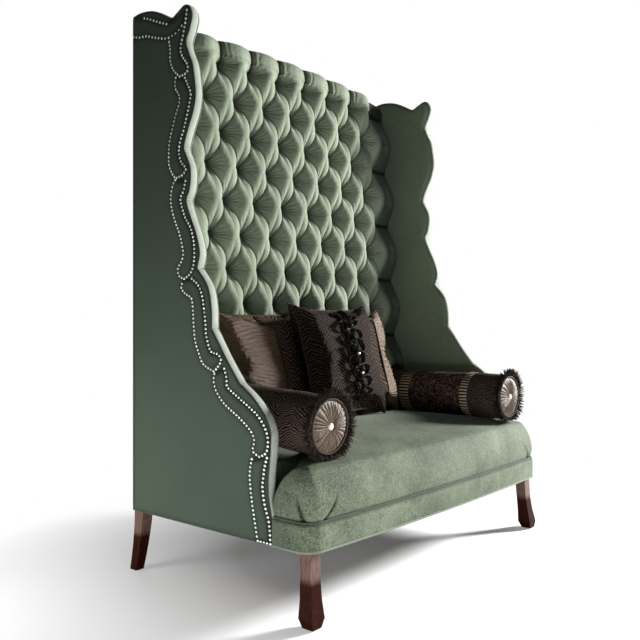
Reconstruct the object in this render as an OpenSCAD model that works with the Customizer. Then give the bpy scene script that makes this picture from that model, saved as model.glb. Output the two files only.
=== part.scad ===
// A tall wing-back settee: buttoned back between two scalloped wings, tight crowned seat,
// raked and spade-footed legs, three scatter cushions and two bolsters.
// Millimetres. The origin is on the floor below the middle of the settee, +Z up, front towards -Y.
// A depth is counted forwards from the face of the outside back.

/* [Body] */
// Width over both wings
body_w = 1360; // [1200:10:2200]
// Depth from the outside back to the ends of the apron's front
body_d = 765; // [740:5:900]
// How far the apron and the seat bow out at the middle
front_bow = 16; // [4:1:40]
// Height of the frame's underside above the floor
under_h = 200; // [150:5:260]
// Height of the apron, from the underside to the seam with the seat
apron_h = 77; // [70:1:110]
// Thickness of the apron over the front rail
apron_t = 14; // [8:1:20]
// Radius of the front corners, seen from above
corner_r = 52; // [42:1:70]
// Thickness of the velvet with its wadding
cover_t = 4; // [2:0.5:6]
// Thickness of the cloth under the frame
dust_cover_t = 1.5; // [1:0.5:3]

/* [Wings] */
// How far a wing's foot stands back from the front of the apron
wing_set = 143; // [85:1:200]
// Height of a wing above the underside
wing_h = 1598; // [1300:2:1700]
// Thickness of the plywood in a wing
wing_panel_t = 22; // [15:1:30]
// Thickness of the pad inside a wing
wing_pad_t = 19; // [12:1:30]
// Width of the velvet band along a wing's edge
edge_band_w = 26; // [22:1:32]
// Thickness of that band
edge_band_t = 3; // [2:0.5:5]

/* [Back] */
// Height of the middle of the back above the underside
back_h = 1608; // [1350:2:1700]
// How much lower the back's top edge is at the wings
back_crown = 26; // [10:1:50]
// Rake of the back in degrees
back_rake = 4.1; // [2:0.1:6]
// Depth of the tufting board's plane, prolonged down to the floor
board_foot_d = 162; // [150:1:190]
// Thickness of the tufting board
board_t = 6; // [4:1:10]
// Thickness of the rails behind it
back_rail_t = 20; // [16:1:24]
// Thickness of each back post
back_post_t = 28; // [20:1:36]

/* [Tufting] */
// Distance between buttons in a row
tuft_pitch = 146; // [120:1:180]
// Height from one row of buttons to the next
tuft_rise = 119.5; // [100:0.5:150]
// Drop from the top edge to the first row
tuft_drop = 100; // [80:1:140]
// How far the padding swells in front of the buttons
puff_t = 50; // [20:1:60]
// Padding left behind a button
pit_t = 8; // [4:1:14]
// Radius of a covered button
button_r = 9; // [6:0.5:12]
// Thickness of a covered button
button_t = 6; // [4:0.5:9]

/* [Seat] */
// Height of the seat's crown above its seam
seat_h = 193; // [170:1:220]
// Depth from the outside back to the seat's rear edge
seat_rear_d = 152; // [145:1:180]
// Thickness of the timber seat rails
rail_t = 28; // [22:1:36]
// Side of the square corner blocks
block_w = 60; // [50:1:70]
// Thickness of the felt over the springs
deck_t = 5; // [3:0.5:8]
// Height of the foam block
foam_h = 100; // [80:1:120]
// Section of the spring wire
wire_t = 4; // [3:0.5:5]
// Number of seat springs
spring_count = 7; // [5:1:9]
// Radius of the piping in the seam
piping_r = 2.5; // [2:0.5:3.5]

/* [Legs] */
// Side of a front leg at its top
front_leg_w = 40; // [34:1:46]
// Side of a front leg at the spade
spade_w = 50; // [44:1:58]
// Side of a front leg at the floor
spade_foot_w = 36; // [30:1:42]
// Height of the spade's widest line
spade_h = 27; // [20:1:40]
// Width and depth of a rear leg at its top
rear_leg_w = 40; // [34:1:46]
rear_leg_d = 43; // [36:1:50]
// Side of a rear leg at the floor
rear_foot_w = 31; // [26:1:38]
// How far a rear foot stands behind the body
rear_kick = 26; // [12:1:40]
// How far a rear leg's top stands behind the body
rear_set = 6; // [0:1:8]
// How far a front foot stands forward of its top
front_kick = 19; // [0:1:25]
// How far each foot stands outwards of its leg's top
front_splay = 13; // [0:1:16]
rear_splay = 8; // [0:1:12]
// Distance from the top of a leg, at its middle, to the body's side
front_leg_side = 44; // [40:1:56]
rear_leg_side = 34; // [32:1:56]
// Radius and height of a nylon glide
glide_r = 11; // [8:0.5:14]
glide_t = 2.5; // [2:0.5:5]
// Radius and length of a leg bolt
bolt_r = 4; // [3:0.5:5]
bolt_l = 70; // [50:1:80]

/* [Cushions] */
// Side of a scatter cushion
cushion_w = 420; // [360:5:460]
// Thickness of a scatter cushion
cushion_t = 140; // [100:2:140]
// Lean of the cushions in degrees
cushion_lean = 15.5; // [12:0.5:18]
// Place of each cushion's middle, as a share of half the width between the wings
left_cushion_share = -0.5276; // [-0.55:0.01:-0.51]
middle_cushion_share = -0.0945; // [-0.13:0.01:-0.06]
right_cushion_share = 0.2835; // [0.25:0.01:0.32]

/* [Bolsters] */
// Radius of a bolster
bolster_r = 87; // [75:1:92]
// How far each bolster's front end stands back from the front of the apron
left_bolster_set = 61; // [45:1:75]
right_bolster_set = 47; // [35:1:65]
// Depth of each bolster's rear end
left_bolster_rear_d = 338; // [332:2:364]
right_bolster_rear_d = 188; // [178:2:318]
// Distance of a bolster's axis from the body's side
bolster_side = 149; // [140:1:155]
// How much each bolster's front end dips, in degrees
left_bolster_dip = 3; // [0:0.5:4]
right_bolster_dip = 0; // [0:0.5:4]
// Radius of the covered button in a bolster's end
end_button_r = 10; // [7:0.5:14]

/* [Hidden] */

velvet = [0.40, 0.47, 0.40];
velvet_shade = [0.31, 0.37, 0.32];
timber = [0.76, 0.61, 0.42];
mahogany = [0.20, 0.08, 0.05];
plywood = [0.80, 0.68, 0.48];
steel = [0.55, 0.56, 0.58];
cocoa = [0.20, 0.16, 0.14];
satin = [0.45, 0.34, 0.27];

// One overrun serves all cuts, one gap keeps soft pieces off their neighbours.
overrun = 2;
soft_gap = 0.3;

// The body's main planes.
back_y = (body_d + front_bow - rear_kick) / 2;
front_y = back_y - body_d;
seam_z = under_h + apron_h;
half_w = body_w / 2;
wing_t = cover_t + wing_panel_t + wing_pad_t;
inner_half = half_w - wing_t;
tuft_half = inner_half - soft_gap;
panel_in = half_w - cover_t - wing_panel_t;
wing_d = body_d - wing_set;
step_y = back_y - cover_t - wing_d - soft_gap;
front_half = half_w - corner_r;
corner_n = 5;
bow_n = 12;

function fy(d) = back_y - d;
function rev(l) = [for (i = [len(l) - 1 : -1 : 0]) l[i]];
function unit(v) = v / norm(v);
function board_d(z) = board_foot_d - z * tan(back_rake);
function bow_y(x) = front_y - front_bow * (1 - pow(min(abs(x) / front_half, 1), 2));

// The front of the plan from the left wing round the bow to the right wing, drawn in by i.
function front_path(i, from_y) = let(r = corner_r - i, cy = front_y + corner_r) concat(
    [[i - half_w, from_y]],
    [for (k = [0 : corner_n]) let(a = 180 + 90 * k / corner_n)
        [r * cos(a) - front_half, cy + r * sin(a)]],
    [for (k = [1 : bow_n - 1]) let(x = front_half * (2 * k / bow_n - 1)) [x, bow_y(x) + i]],
    [for (k = [0 : corner_n]) let(a = 270 + 90 * k / corner_n)
        [front_half + r * cos(a), cy + r * sin(a)]],
    [[half_w - i, from_y]]);

// The straight inside of the apron, which the bowed front rail fills.
function rail_path(from_y) = let(x0 = panel_in) concat([[-x0, from_y]],
    [for (k = [0 : bow_n]) let(x = x0 * (2 * k / bow_n - 1)) [x, bow_y(x) + apron_t]],
    [[x0, from_y]]);

// A closed outline, counterclockwise, drawn in by d along its mitres.
function inset(pts, d) = let(n = len(pts)) [for (i = [0 : n - 1])
    let(e1 = unit(pts[i] - pts[(i + n - 1) % n]), e2 = unit(pts[(i + 1) % n] - pts[i]),
        n1 = [-e1[1], e1[0]], n2 = [-e2[1], e2[0]])
    pts[i] + d * (n1 + n2) / (1 + n1 * n2)];

// The outline of a strip of width t along an open path.
function strip(path, t) = let(n = len(path), m = [for (i = [0 : n - 1])
    let(e1 = unit(path[max(i, 1)] - path[max(i, 1) - 1]),
        e2 = unit(path[min(i + 1, n - 1)] - path[min(i, n - 2)]),
        n1 = [-e1[1], e1[0]], n2 = [-e2[1], e2[0]]) (n1 + n2) / (1 + n1 * n2)])
    concat([for (i = [0 : n - 1]) path[i] + m[i] * t / 2],
        [for (i = [n - 1 : -1 : 0]) path[i] - m[i] * t / 2]);

// A smooth curve through knots, with its last knot left to the next run.
function spline(a, b, c, d, t) = (2 * b + (c - a) * t + (2 * a - 5 * b + 4 * c - d) * t * t
    + (3 * b - a - 3 * c + d) * t * t * t) / 2;
function smooth(k, n) = let(m = len(k)) [for (i = [0 : m - 2]) for (j = [0 : n - 1])
    spline(k[max(i - 1, 0)], k[i], k[i + 1], k[min(i + 2, m - 1)], j / n)];

// Faces between rings of n points, each ring counterclockwise seen from where the rings go.
function side_faces(rings, n) = [for (r = [0 : rings - 2]) for (i = [0 : n - 1])
    let(j = (i + 1) % n, a = r * n + i, b = r * n + j, c = b + n, d = a + n)
    each [[a, d, c], [a, c, b]]];
// An end's outline is cut into triangles one corner at a time. Flat is that outline in 2D.
function turn(a, b, c) = (b[0] - a[0]) * (c[1] - a[1]) - (b[1] - a[1]) * (c[0] - a[0]);
function holds(a, b, c, p) = turn(a, b, p) >= 0 && turn(b, c, p) >= 0 && turn(c, a, p) >= 0;
function cuttable(flat, left, k) = let(n = len(left), i = left[(k + n - 1) % n], j = left[k],
    l = left[(k + 1) % n], a = flat[i], b = flat[j], c = flat[l])
    turn(a, b, c) > 0
    && len([for (m = left) if (m != i && m != j && m != l && holds(a, b, c, flat[m])) m]) == 0;
function corner_at(flat, left, k) = k >= len(left) ? 0 : cuttable(flat, left, k) ? k
    : corner_at(flat, left, k + 1);
function cut_up(flat, left) = len(left) == 3 ? [left] : let(n = len(left),
    k = corner_at(flat, left, 0)) concat([[left[(k + n - 1) % n], left[k], left[(k + 1) % n]]],
    cut_up(flat, [for (i = [0 : n - 1]) if (i != k) left[i]]));
function end_faces(flat, rings) = let(n = len(flat), o = (rings - 1) * n,
    cut = cut_up(flat, [for (i = [0 : n - 1]) i]))
    concat(cut, [for (t = cut) [o + t[2], o + t[1], o + t[0]]]);
// Flat1 and flat2 are the coordinates in which the first ring is seen from the last one.
module skin(rings, flat1, flat2) {
    n = len(rings[0]);
    polyhedron([for (r = rings) each r], concat(side_faces(len(rings), n),
        end_faces([for (p = rings[0]) [p[flat1], p[flat2]]], len(rings))), convexity = 8);
}

// A profile in depth and height, extruded along X from x0.
module along_x(x0, t) translate([x0, 0, 0]) rotate([90, 0, 90]) linear_extrude(t) children();
module in_plan(z0, t) translate([0, 0, z0]) linear_extrude(t) children();
module both() { children(); mirror([1, 0, 0]) children(); }

// The plane of the tufting board's front: what is drawn there has X across and height up the
// slope, and it is extruded forwards.
module on_rake(forward) translate([0, fy(board_foot_d), 0]) rotate([-back_rake, 0, 0])
    translate([0, -forward, 0]) rotate([90, 0, 0]) children();
function slope(z) = z / cos(back_rake);

// Wing outline. Each knot is a share of the wing's depth and of its height, and each run is
// smooth, with a sharp notch or corner where it meets the next.
apron_share = apron_h / wing_h;
wing_runs_shares = [
    [[1, apron_share], [0.979, 0.085], [0.977, 0.115], [0.994, 0.176], [0.984, 0.201],
        [0.946, 0.225], [0.877, 0.251], [0.794, 0.272]],
    [[0.794, 0.272], [0.709, 0.313], [0.649, 0.345], [0.604, 0.369]],
    [[0.604, 0.369], [0.602, 0.407], [0.575, 0.447], [0.500, 0.481]],
    [[0.500, 0.481], [0.519, 0.508], [0.498, 0.540], [0.452, 0.578], [0.421, 0.609],
        [0.442, 0.627], [0.453, 0.651], [0.446, 0.675], [0.415, 0.698], [0.403, 0.713],
        [0.431, 0.742], [0.474, 0.777], [0.488, 0.810], [0.468, 0.861], [0.442, 0.884],
        [0.419, 0.909], [0.446, 0.932], [0.463, 0.955], [0.442, 0.974], [0.405, 0.980],
        [0.345, 0.970], [0.307, 0.966], [0.228, 0.982], [0.147, 0.995], [0.064, 1],
        [0, 0.998]]];
wing_steps = 3;
wing_rear_y = fy(cover_t);
function wing_point(s) = [wing_rear_y - s[0] * wing_d, under_h + s[1] * wing_h];
wing_edge = concat([for (run = wing_runs_shares) each smooth([for (s = run) wing_point(s)],
    wing_steps)], [wing_point([0, 0.998])]);
wing_outline = rev(concat([[wing_rear_y, under_h], [wing_rear_y - wing_d, under_h]], wing_edge));
pad_outline = rev(concat([[wing_rear_y, seam_z]], wing_edge));

// Seat frame. Rails stand on the underside, and clips and felt fill the way up to the seam.
clip_t = 1.5;
rail_top = seam_z - deck_t - clip_t - wire_t;
rail_h = rail_top - under_h;
block_x = panel_in - block_w;
front_rail_y = front_y + apron_t;
rear_rail_y = fy(cover_t);
brace_h = rail_h * 2 / 3;

module front_rail() color(timber) in_plan(under_h, rail_h) intersection() {
    polygon(rail_path(front_rail_y + rail_t));
    square([2 * block_x, body_d * 2], center = true);
}
module rear_rail() color(timber) translate([-block_x, rear_rail_y - rail_t, under_h])
    cube([2 * block_x, rail_t, rail_h]);
module side_rail() color(timber) translate([-panel_in, front_rail_y + block_w, under_h])
    cube([rail_t, rear_rail_y - front_rail_y - 2 * block_w, rail_h]);
module left_side_rail() side_rail();
module right_side_rail() mirror([1, 0, 0]) side_rail();
module centre_brace() color(timber)
    translate([-rail_t / 2, front_rail_y + rail_t, under_h])
    cube([rail_t, rear_rail_y - front_rail_y - 2 * rail_t, brace_h]);

// The blocks fill the frame's corners and take the leg bolts.
front_leg_y = front_rail_y + rail_t;
rear_leg_y = fy(rear_leg_d / 2 - rear_set);
front_leg_x = half_w - front_leg_side;
rear_leg_x = half_w - rear_leg_side;
bolt_gap = 0.2;
module bolt_places() both() for (p = [[-front_leg_x, front_leg_y], [-rear_leg_x, rear_leg_y]])
    translate([p[0], p[1], under_h]) children();
module corner_blocks() color(timber) difference() {
    union() {
        both() in_plan(under_h, rail_h) polygon([[-panel_in, front_rail_y],
            [-block_x, bow_y(block_x) + apron_t], [-block_x, front_rail_y + block_w],
            [-panel_in, front_rail_y + block_w]]);
        both() translate([-panel_in, rear_rail_y - block_w, under_h])
            cube([block_w, block_w, rail_h]);
    }
    bolt_places() translate([0, 0, -overrun])
        cylinder(bolt_l / 2 + bolt_gap + overrun, bolt_r + bolt_gap, bolt_r + bolt_gap, $fn = 24);
}

// Back frame.
roll_t = 30;
rail_slack = 3;
function back_top(x) = under_h + back_h - back_crown * pow(min(abs(x) / inner_half, 1), 2);
function frame_top(x) = back_top(x) - roll_t - rail_slack;
back_rail_w = 70;
lower_rail_z = rail_top + roll_t;
middle_rail_shares = [0.36, 0.68];
post_top = frame_top(inner_half);
rail_half = tuft_half - back_post_t;
glue_gap = 0.02;
post_lead = slope(board_t) + glue_gap;
module back_post() color(plywood) along_x(-tuft_half, back_post_t) polygon([
    [fy(cover_t), rail_top], [fy(cover_t), post_top],
    [fy(board_d(post_top) - post_lead), post_top],
    [fy(board_d(rail_top) - post_lead), rail_top]]);
module left_back_post() back_post();
module right_back_post() mirror([1, 0, 0]) back_post();

function crown_path(half, drop) = [for (k = [0 : bow_n])
    let(x = half * (1 - 2 * k / bow_n)) [x, slope(frame_top(x) - drop)]];
module back_board_part(behind, t) on_rake(-behind - t) linear_extrude(t) children();
module top_back_rail() color(timber) back_board_part(board_t, back_rail_t)
    polygon(concat(crown_path(rail_half, 0), rev(crown_path(rail_half, back_rail_w))));
module flat_back_rail(z) back_board_part(board_t, back_rail_t)
    translate([-rail_half, slope(z)]) square([2 * rail_half, back_rail_w]);
module middle_back_rails() color(timber) for (s = middle_rail_shares)
    flat_back_rail(under_h + s * back_h);
module lower_back_rail() color(timber) flat_back_rail(lower_rail_z);

// Tufting. Rows alternate: even rows have buttons on both sides of the middle, odd rows one in
// the middle. u counts half pitches across, w counts rows down from the first.
tuft_margin = tuft_pitch / 2;
tuft_cols = floor((tuft_half - tuft_margin) / tuft_pitch + 1 / 2);
tuft_top = under_h + back_h - tuft_drop;
tuft_rows = floor((tuft_top - seam_z - seat_h) / tuft_rise) + 1;
u_last = 2 * tuft_cols - 1;
button_places = [for (row = [0 : tuft_rows - 1])
    each (row % 2 == 0 ? [for (k = [-tuft_cols : tuft_cols - 1]) [(k + 1 / 2) * tuft_pitch, row]]
        : [for (k = [1 - tuft_cols : tuft_cols - 1]) [k * tuft_pitch, row]])];
function row_z(w) = tuft_top - w * tuft_rise;
hole_r = 4;
module tufting_board() color(plywood) difference() {
    back_board_part(0, board_t) polygon(concat(crown_path(tuft_half, 0),
        [[-tuft_half, slope(lower_rail_z)], [tuft_half, slope(lower_rail_z)]]));
    on_rake(-board_t - overrun) for (b = button_places)
        translate([b[0], slope(row_z(b[1]))])
        cylinder(board_t + 2 * overrun, hole_r, hole_r, $fn = 16);
}

// Swell of the padding: nothing at a button, a low ridge along the folds between buttons, full in
// the middle of a diamond. Past the last button the folds run level to the side, and above the
// first row they run straight up and over the top.
fold_share = 0.42;
fill_power = 0.75;
side_share = 0.35;
lift_share = 0.55;
function diamond(u, w) = let(p = (u + w - 1) / 2, q = (u - w - 1) / 2,
    a = abs(sin(180 * p)), b = abs(sin(180 * q)))
    fold_share * max(a, b) + (1 - fold_share) * pow(a * b, fill_power);
function swell(u, w) = let(au = abs(u), v = diamond(min(au, u_last), max(w, 0)),
    side = max(au - u_last, 0) * tuft_pitch / 2 / (tuft_half - u_last * tuft_pitch / 2),
    raised = v + (1 - v) * lift_share * min(max(-w, 0), 1))
    raised * (1 - side_share * side * side);

pad_foot_z = seam_z + seat_h * 0.64;
cell_x = tuft_pitch / 4;
cell_n = ceil(tuft_half / cell_x) - 1;
tuft_xs = concat([-tuft_half], [for (k = [-cell_n : cell_n]) k * cell_x], [tuft_half]);
row_n = 2 * tuft_rows - 1;
// The roll over the top rail: shares of the pad's thickness and of the roll's height.
roll_h = tuft_drop * 0.62;
roll_shares = [[0.05, 0.72], [0.22, 0.94], [0.45, 1], [0.68, 0.95], [0.86, 0.78], [0.97, 0.45],
    [1, 0]];
notch_share = 0.15;
notch_power = 0.3;
function pad_ring(x) = let(u = 2 * x / tuft_pitch, top = back_top(x), roll_z = top - roll_h,
    w_roll = (tuft_top - roll_z) / tuft_rise, rail_z = top - roll_t,
    thick = board_d(roll_z) + pit_t + puff_t * swell(u, w_roll),
    high = roll_h * (1 - notch_share * (1 - pow(swell(u, -1), notch_power)))) concat(
    [for (s = rev(roll_shares)) [x, fy(thick * s[0]), roll_z + high * s[1]]],
    [[x, fy(cover_t), rail_z], [x, fy(board_d(rail_z) + soft_gap), rail_z],
        [x, fy(board_d(pad_foot_z) + soft_gap), pad_foot_z],
        [x, fy(board_d(pad_foot_z) + pit_t), pad_foot_z]],
    [for (k = [row_n : -1 : 0]) let(z = row_z(k / 2))
        [x, fy(board_d(z) + pit_t + puff_t * swell(u, k / 2)), z]]);
pad_rings = [for (x = tuft_xs) rev(pad_ring(x))];
// In each square of the front the crease runs along one of the diagonals.
function crease(c, r) = let(i = c - cell_n - 1, k = r) (i + k + 1) % 4 == 2 || (i + k + 1) % 4 == -2;
pad_n = len(pad_rings[0]);
function pad_face(c, i) = let(j = (i + 1) % pad_n, a = c * pad_n + i, b = c * pad_n + j,
    d = a + pad_n, e = b + pad_n) crease(c, i) ? [[a, d, b], [b, d, e]] : [[a, d, e], [a, e, b]];
module tufted_back() color(velvet) polyhedron([for (r = pad_rings) each r],
    concat([for (c = [0 : len(pad_rings) - 2]) for (i = [0 : pad_n - 1]) each pad_face(c, i)],
        end_faces([for (p = pad_rings[0]) [p[1], p[2]]], len(pad_rings))), convexity = 20);

// A button lies in its pit, held off the folds by its own radius.
button_seat = pit_t + button_r * 0.97;
module back_buttons() color(velvet_shade) on_rake(0) for (b = button_places)
    translate([b[0], slope(row_z(b[1])), button_seat])
    cylinder(button_t, button_r, button_r * 0.7, $fn = 16);

// Outside back: one panel over the whole width, dipping under the roll between the wings.
module outside_back() color(velvet_shade) translate([0, fy(0), 0]) rotate([90, 0, 0])
    linear_extrude(cover_t) polygon(concat(
        [[-half_w, under_h], [half_w, under_h], [half_w, wing_edge[len(wing_edge) - 1][1]],
            [inner_half, wing_edge[len(wing_edge) - 1][1]]],
        [for (k = [0 : bow_n]) let(x = inner_half * (1 - 2 * k / bow_n)) [x, back_top(x) - roll_t]],
        [[-inner_half, wing_edge[len(wing_edge) - 1][1]],
            [-half_w, wing_edge[len(wing_edge) - 1][1]]]));

// Wings. From outside in: cover, plywood with the band round its edge, rounded pad.
module panel_face() {
    polygon(inset(wing_outline, edge_band_t));
    intersection() {
        polygon(wing_outline);
        union() {
            translate([wing_rear_y - wing_d, under_h]) square([wing_d, apron_h]);
            translate([wing_rear_y - 2 * edge_band_t, under_h])
                square([2 * edge_band_t, wing_h - 2 * edge_band_t]);
        }
    }
}
module wing_cover() color(velvet_shade) along_x(-half_w, cover_t) polygon(wing_outline);
module left_wing_cover() wing_cover();
module right_wing_cover() mirror([1, 0, 0]) wing_cover();
module wing_panel() color(plywood) along_x(cover_t - half_w, wing_panel_t) panel_face();
module left_wing_panel() wing_panel();
module right_wing_panel() mirror([1, 0, 0]) wing_panel();
module edge_band() color(velvet) along_x(cover_t - half_w, edge_band_w) difference() {
    polygon(wing_outline);
    panel_face();
}
module left_edge_band() edge_band();
module right_edge_band() mirror([1, 0, 0]) edge_band();
// Rings of the pad: share of its thickness, and how far its edge is drawn in there.
edge_share = (edge_band_w - wing_panel_t) / wing_pad_t;
pad_round = wing_pad_t * 0.5;
pad_rows_shares = [[0, 0], [edge_share, 0], [0.6, 0.14], [0.88, 0.45], [1, 1]];
module wing_pad() color(velvet) skin([for (s = pad_rows_shares)
    [for (p = inset(pad_outline, edge_band_t + soft_gap + s[1] * pad_round))
        [s[0] * wing_pad_t - panel_in, p[0], p[1]]]], 1, 2);
module left_wing_pad() wing_pad();
module right_wing_pad() mirror([1, 0, 0]) wing_pad();

// Apron: a padded band from wing to wing round the front.
module apron() color(velvet) in_plan(under_h, apron_h)
    polygon(concat(front_path(0, step_y), rev(rail_path(step_y))));

// Seat. Rings of the cover: how far it is drawn in from its widest line, and its height, as
// shares of the corner radius and of the seat's height. Then it closes in on its middle.
seat_half = inner_half - soft_gap;
seat_set = 2;
seat_outline = concat([[seat_half, fy(seat_rear_d)], [-seat_half, fy(seat_rear_d)],
        [-seat_half, step_y - seat_set]],
    front_path(seat_set, step_y - seat_set), [[seat_half, step_y - seat_set]]);
seat_rows_shares = [[0.2, 0], [0.05, 0.09], [0, 0.21], [0.1, 0.37], [0.32, 0.53], [0.66, 0.66],
    [0.9, 0.705]];
seat_top_shares = [[0.07, 0.742], [0.16, 0.78], [0.3, 0.83], [0.48, 0.89], [0.68, 0.95],
    [0.86, 0.988], [0.97, 1]];
seat_mid_y = fy(seat_rear_d) * 0.6 + front_y * 0.4;
seat_reach = seat_half / 3;
function to_middle(p, s) = let(c = [max(min(p[0], seat_reach), -seat_reach), seat_mid_y])
    p + s * (c - p);
last_row = seat_rows_shares[len(seat_rows_shares) - 1];
function seat_row(d) = inset(seat_outline, d * corner_r);
seat_rings = concat([for (s = seat_rows_shares) [for (p = seat_row(s[0]))
        [p[0], p[1], seam_z + s[1] * seat_h]]],
    [for (s = seat_top_shares) [for (p = seat_row(last_row[0]))
        let(q = to_middle(p, s[0])) [q[0], q[1], seam_z + s[1] * seat_h]]]);
foam_wall = seat_h / 3;
foam_rear_y = fy(seat_rear_d) - foam_wall;
foam_front_y = front_y + foam_wall;
foam_half = seat_half - foam_wall;
module foam_block(g) translate([-foam_half - g, foam_front_y - g, seam_z - (g > 0 ? overrun : 0)])
    cube([2 * (foam_half + g), foam_rear_y - foam_front_y + 2 * g,
        foam_h + g + (g > 0 ? overrun : 0)]);
module seat_foam() color("khaki") foam_block(0);
module seat_cover() color(velvet) difference() {
    skin(seat_rings, 0, 1);
    foam_block(soft_gap);
}

// Piping in the groove between the apron and the seat.
piping_set = 6;
piping_path = front_path(piping_set, step_y);
piping_n = 6;
function piping_ring(i) = let(n = len(piping_path),
    e1 = unit(piping_path[max(i, 1)] - piping_path[max(i, 1) - 1]),
    e2 = unit(piping_path[min(i + 1, n - 1)] - piping_path[min(i, n - 2)]),
    side = ([-e1[1], e1[0]] + [-e2[1], e2[0]]) / (1 + e1 * e2))
    [for (k = [0 : piping_n - 1]) let(a = 90 - 360 * k / piping_n,
        p = piping_path[i] + side * piping_r * cos(a))
        [p[0], p[1], seam_z + piping_r * (1 + sin(a))]];
module seat_piping() color(velvet_shade)
    polyhedron([for (i = [0 : len(piping_path) - 1]) each piping_ring(i)],
        concat(side_faces(len(piping_path), piping_n), [[for (i = [0 : piping_n - 1]) i],
        [for (i = [1 : piping_n]) len(piping_path) * piping_n - i]]), convexity = 8);

// Springs, clips and felt.
spring_amp = 24;
spring_waves = 12;
spring_y0 = front_rail_y + rail_t * 0.6;
spring_y1 = rear_rail_y - rail_t * 0.6;
spring_pitch = 2 * panel_in / (spring_count + 1);
wave_n = 6;
spring_path = concat([[-spring_amp, spring_y0], [spring_amp, spring_y0]],
    [for (k = [1 : spring_waves * wave_n - 1]) let(t = k / (spring_waves * wave_n))
        [spring_amp * cos(360 * (spring_waves + 1 / 2) * t),
            spring_y0 + (spring_y1 - spring_y0) * t]],
    [[-spring_amp, spring_y1], [spring_amp, spring_y1]]);
spring_xs = [for (k = [1 : spring_count]) k * spring_pitch - panel_in];
module seat_springs() color(steel) for (x = spring_xs) translate([x, 0, 0])
    in_plan(rail_top, wire_t) polygon(strip(spring_path, wire_t));
clip_w = 18;
module spring_clips() color(steel) for (x = spring_xs, y = [spring_y0, spring_y1])
    translate([0, y, 0]) along_x(x - clip_w / 2, clip_w) difference() {
        translate([-wire_t / 2 - clip_t, rail_top])
            square([wire_t + 2 * clip_t, wire_t + clip_t]);
        translate([-wire_t / 2, rail_top - overrun]) square([wire_t, wire_t + overrun]);
    }
module deck_felt() color("gray") in_plan(seam_z - deck_t, deck_t)
    polygon(concat(rail_path(step_y), [[panel_in, fy(board_d(rail_top))],
        [-panel_in, fy(board_d(rail_top))]]));

// Cloth stapled under the frame, cut out round the legs.
dust_set = 10;
module dust_cover() color("black") difference() {
    in_plan(under_h - dust_cover_t, dust_cover_t) polygon(concat(front_path(dust_set, step_y),
        [[half_w - dust_set, fy(dust_set)], [dust_set - half_w, fy(dust_set)]]));
    both() translate([-front_leg_x, front_leg_y, under_h])
        cube([front_leg_w + overrun, front_leg_w + overrun, 2 * overrun], center = true);
    both() translate([-rear_leg_x, rear_rail_y, under_h])
        cube([rear_leg_w + overrun, 2 * rear_leg_d, 2 * overrun], center = true);
}

// Legs. A ring is a rectangle of half sides a and b at height z, moved by [x, y].
function leg_ring(a, b, z, x, y) = [[x - a, y - b, z], [x + a, y - b, z], [x + a, y + b, z],
    [x - a, y + b, z]];
// Each leg runs straight at its top and curves towards its foot.
leg_h = under_h - glide_t;
function kick(z) = pow((under_h - z) / leg_h, 3 / 2);
module leg_hole(x, y) translate([x, y, under_h - bolt_l / 2 - bolt_gap])
    cylinder(bolt_l / 2 + bolt_gap + overrun, bolt_r + bolt_gap, bolt_r + bolt_gap, $fn = 24);
front_leg_rows = [[glide_t, spade_foot_w], [spade_h, spade_w],
    [under_h * 0.37, front_leg_w * 1.05], [under_h * 0.62, front_leg_w * 0.97],
    [under_h, front_leg_w]];
module front_leg() color(mahogany) difference() {
    skin([for (r = front_leg_rows) leg_ring(r[1] / 2, r[1] / 2, r[0],
        -front_leg_x - front_splay * kick(r[0]), front_leg_y - front_kick * kick(r[0]))], 0, 1);
    leg_hole(-front_leg_x, front_leg_y);
}
module front_left_leg() front_leg();
module front_right_leg() mirror([1, 0, 0]) front_leg();
rear_leg_shares = [0, 0.2, 0.4, 0.6, 0.8, 1];
rear_foot_y = fy(0) + rear_kick - rear_foot_w / 2;
module rear_leg() color(mahogany) difference() {
    skin([for (s = rear_leg_shares) let(z = glide_t + leg_h * s,
        w = rear_foot_w + (rear_leg_w - rear_foot_w) * s,
        d = rear_foot_w + (rear_leg_d - rear_foot_w) * s)
        leg_ring(w / 2, d / 2, z, -rear_leg_x - rear_splay * kick(z),
            rear_leg_y + (rear_foot_y - rear_leg_y) * kick(z))], 0, 1);
    leg_hole(-rear_leg_x, rear_leg_y);
}
module rear_left_leg() rear_leg();
module rear_right_leg() mirror([1, 0, 0]) rear_leg();
module leg_bolts() color(steel) bolt_places() translate([0, 0, -bolt_l / 2])
    cylinder(bolt_l, bolt_r, bolt_r, $fn = 24);
module floor_glides() color("dimgray") both() for (f = [
        [-front_leg_x - front_splay, front_leg_y - front_kick],
        [-rear_leg_x - rear_splay, rear_foot_y]])
    translate([f[0], f[1], 0]) cylinder(glide_t, glide_r, glide_r, $fn = 32);

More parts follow.
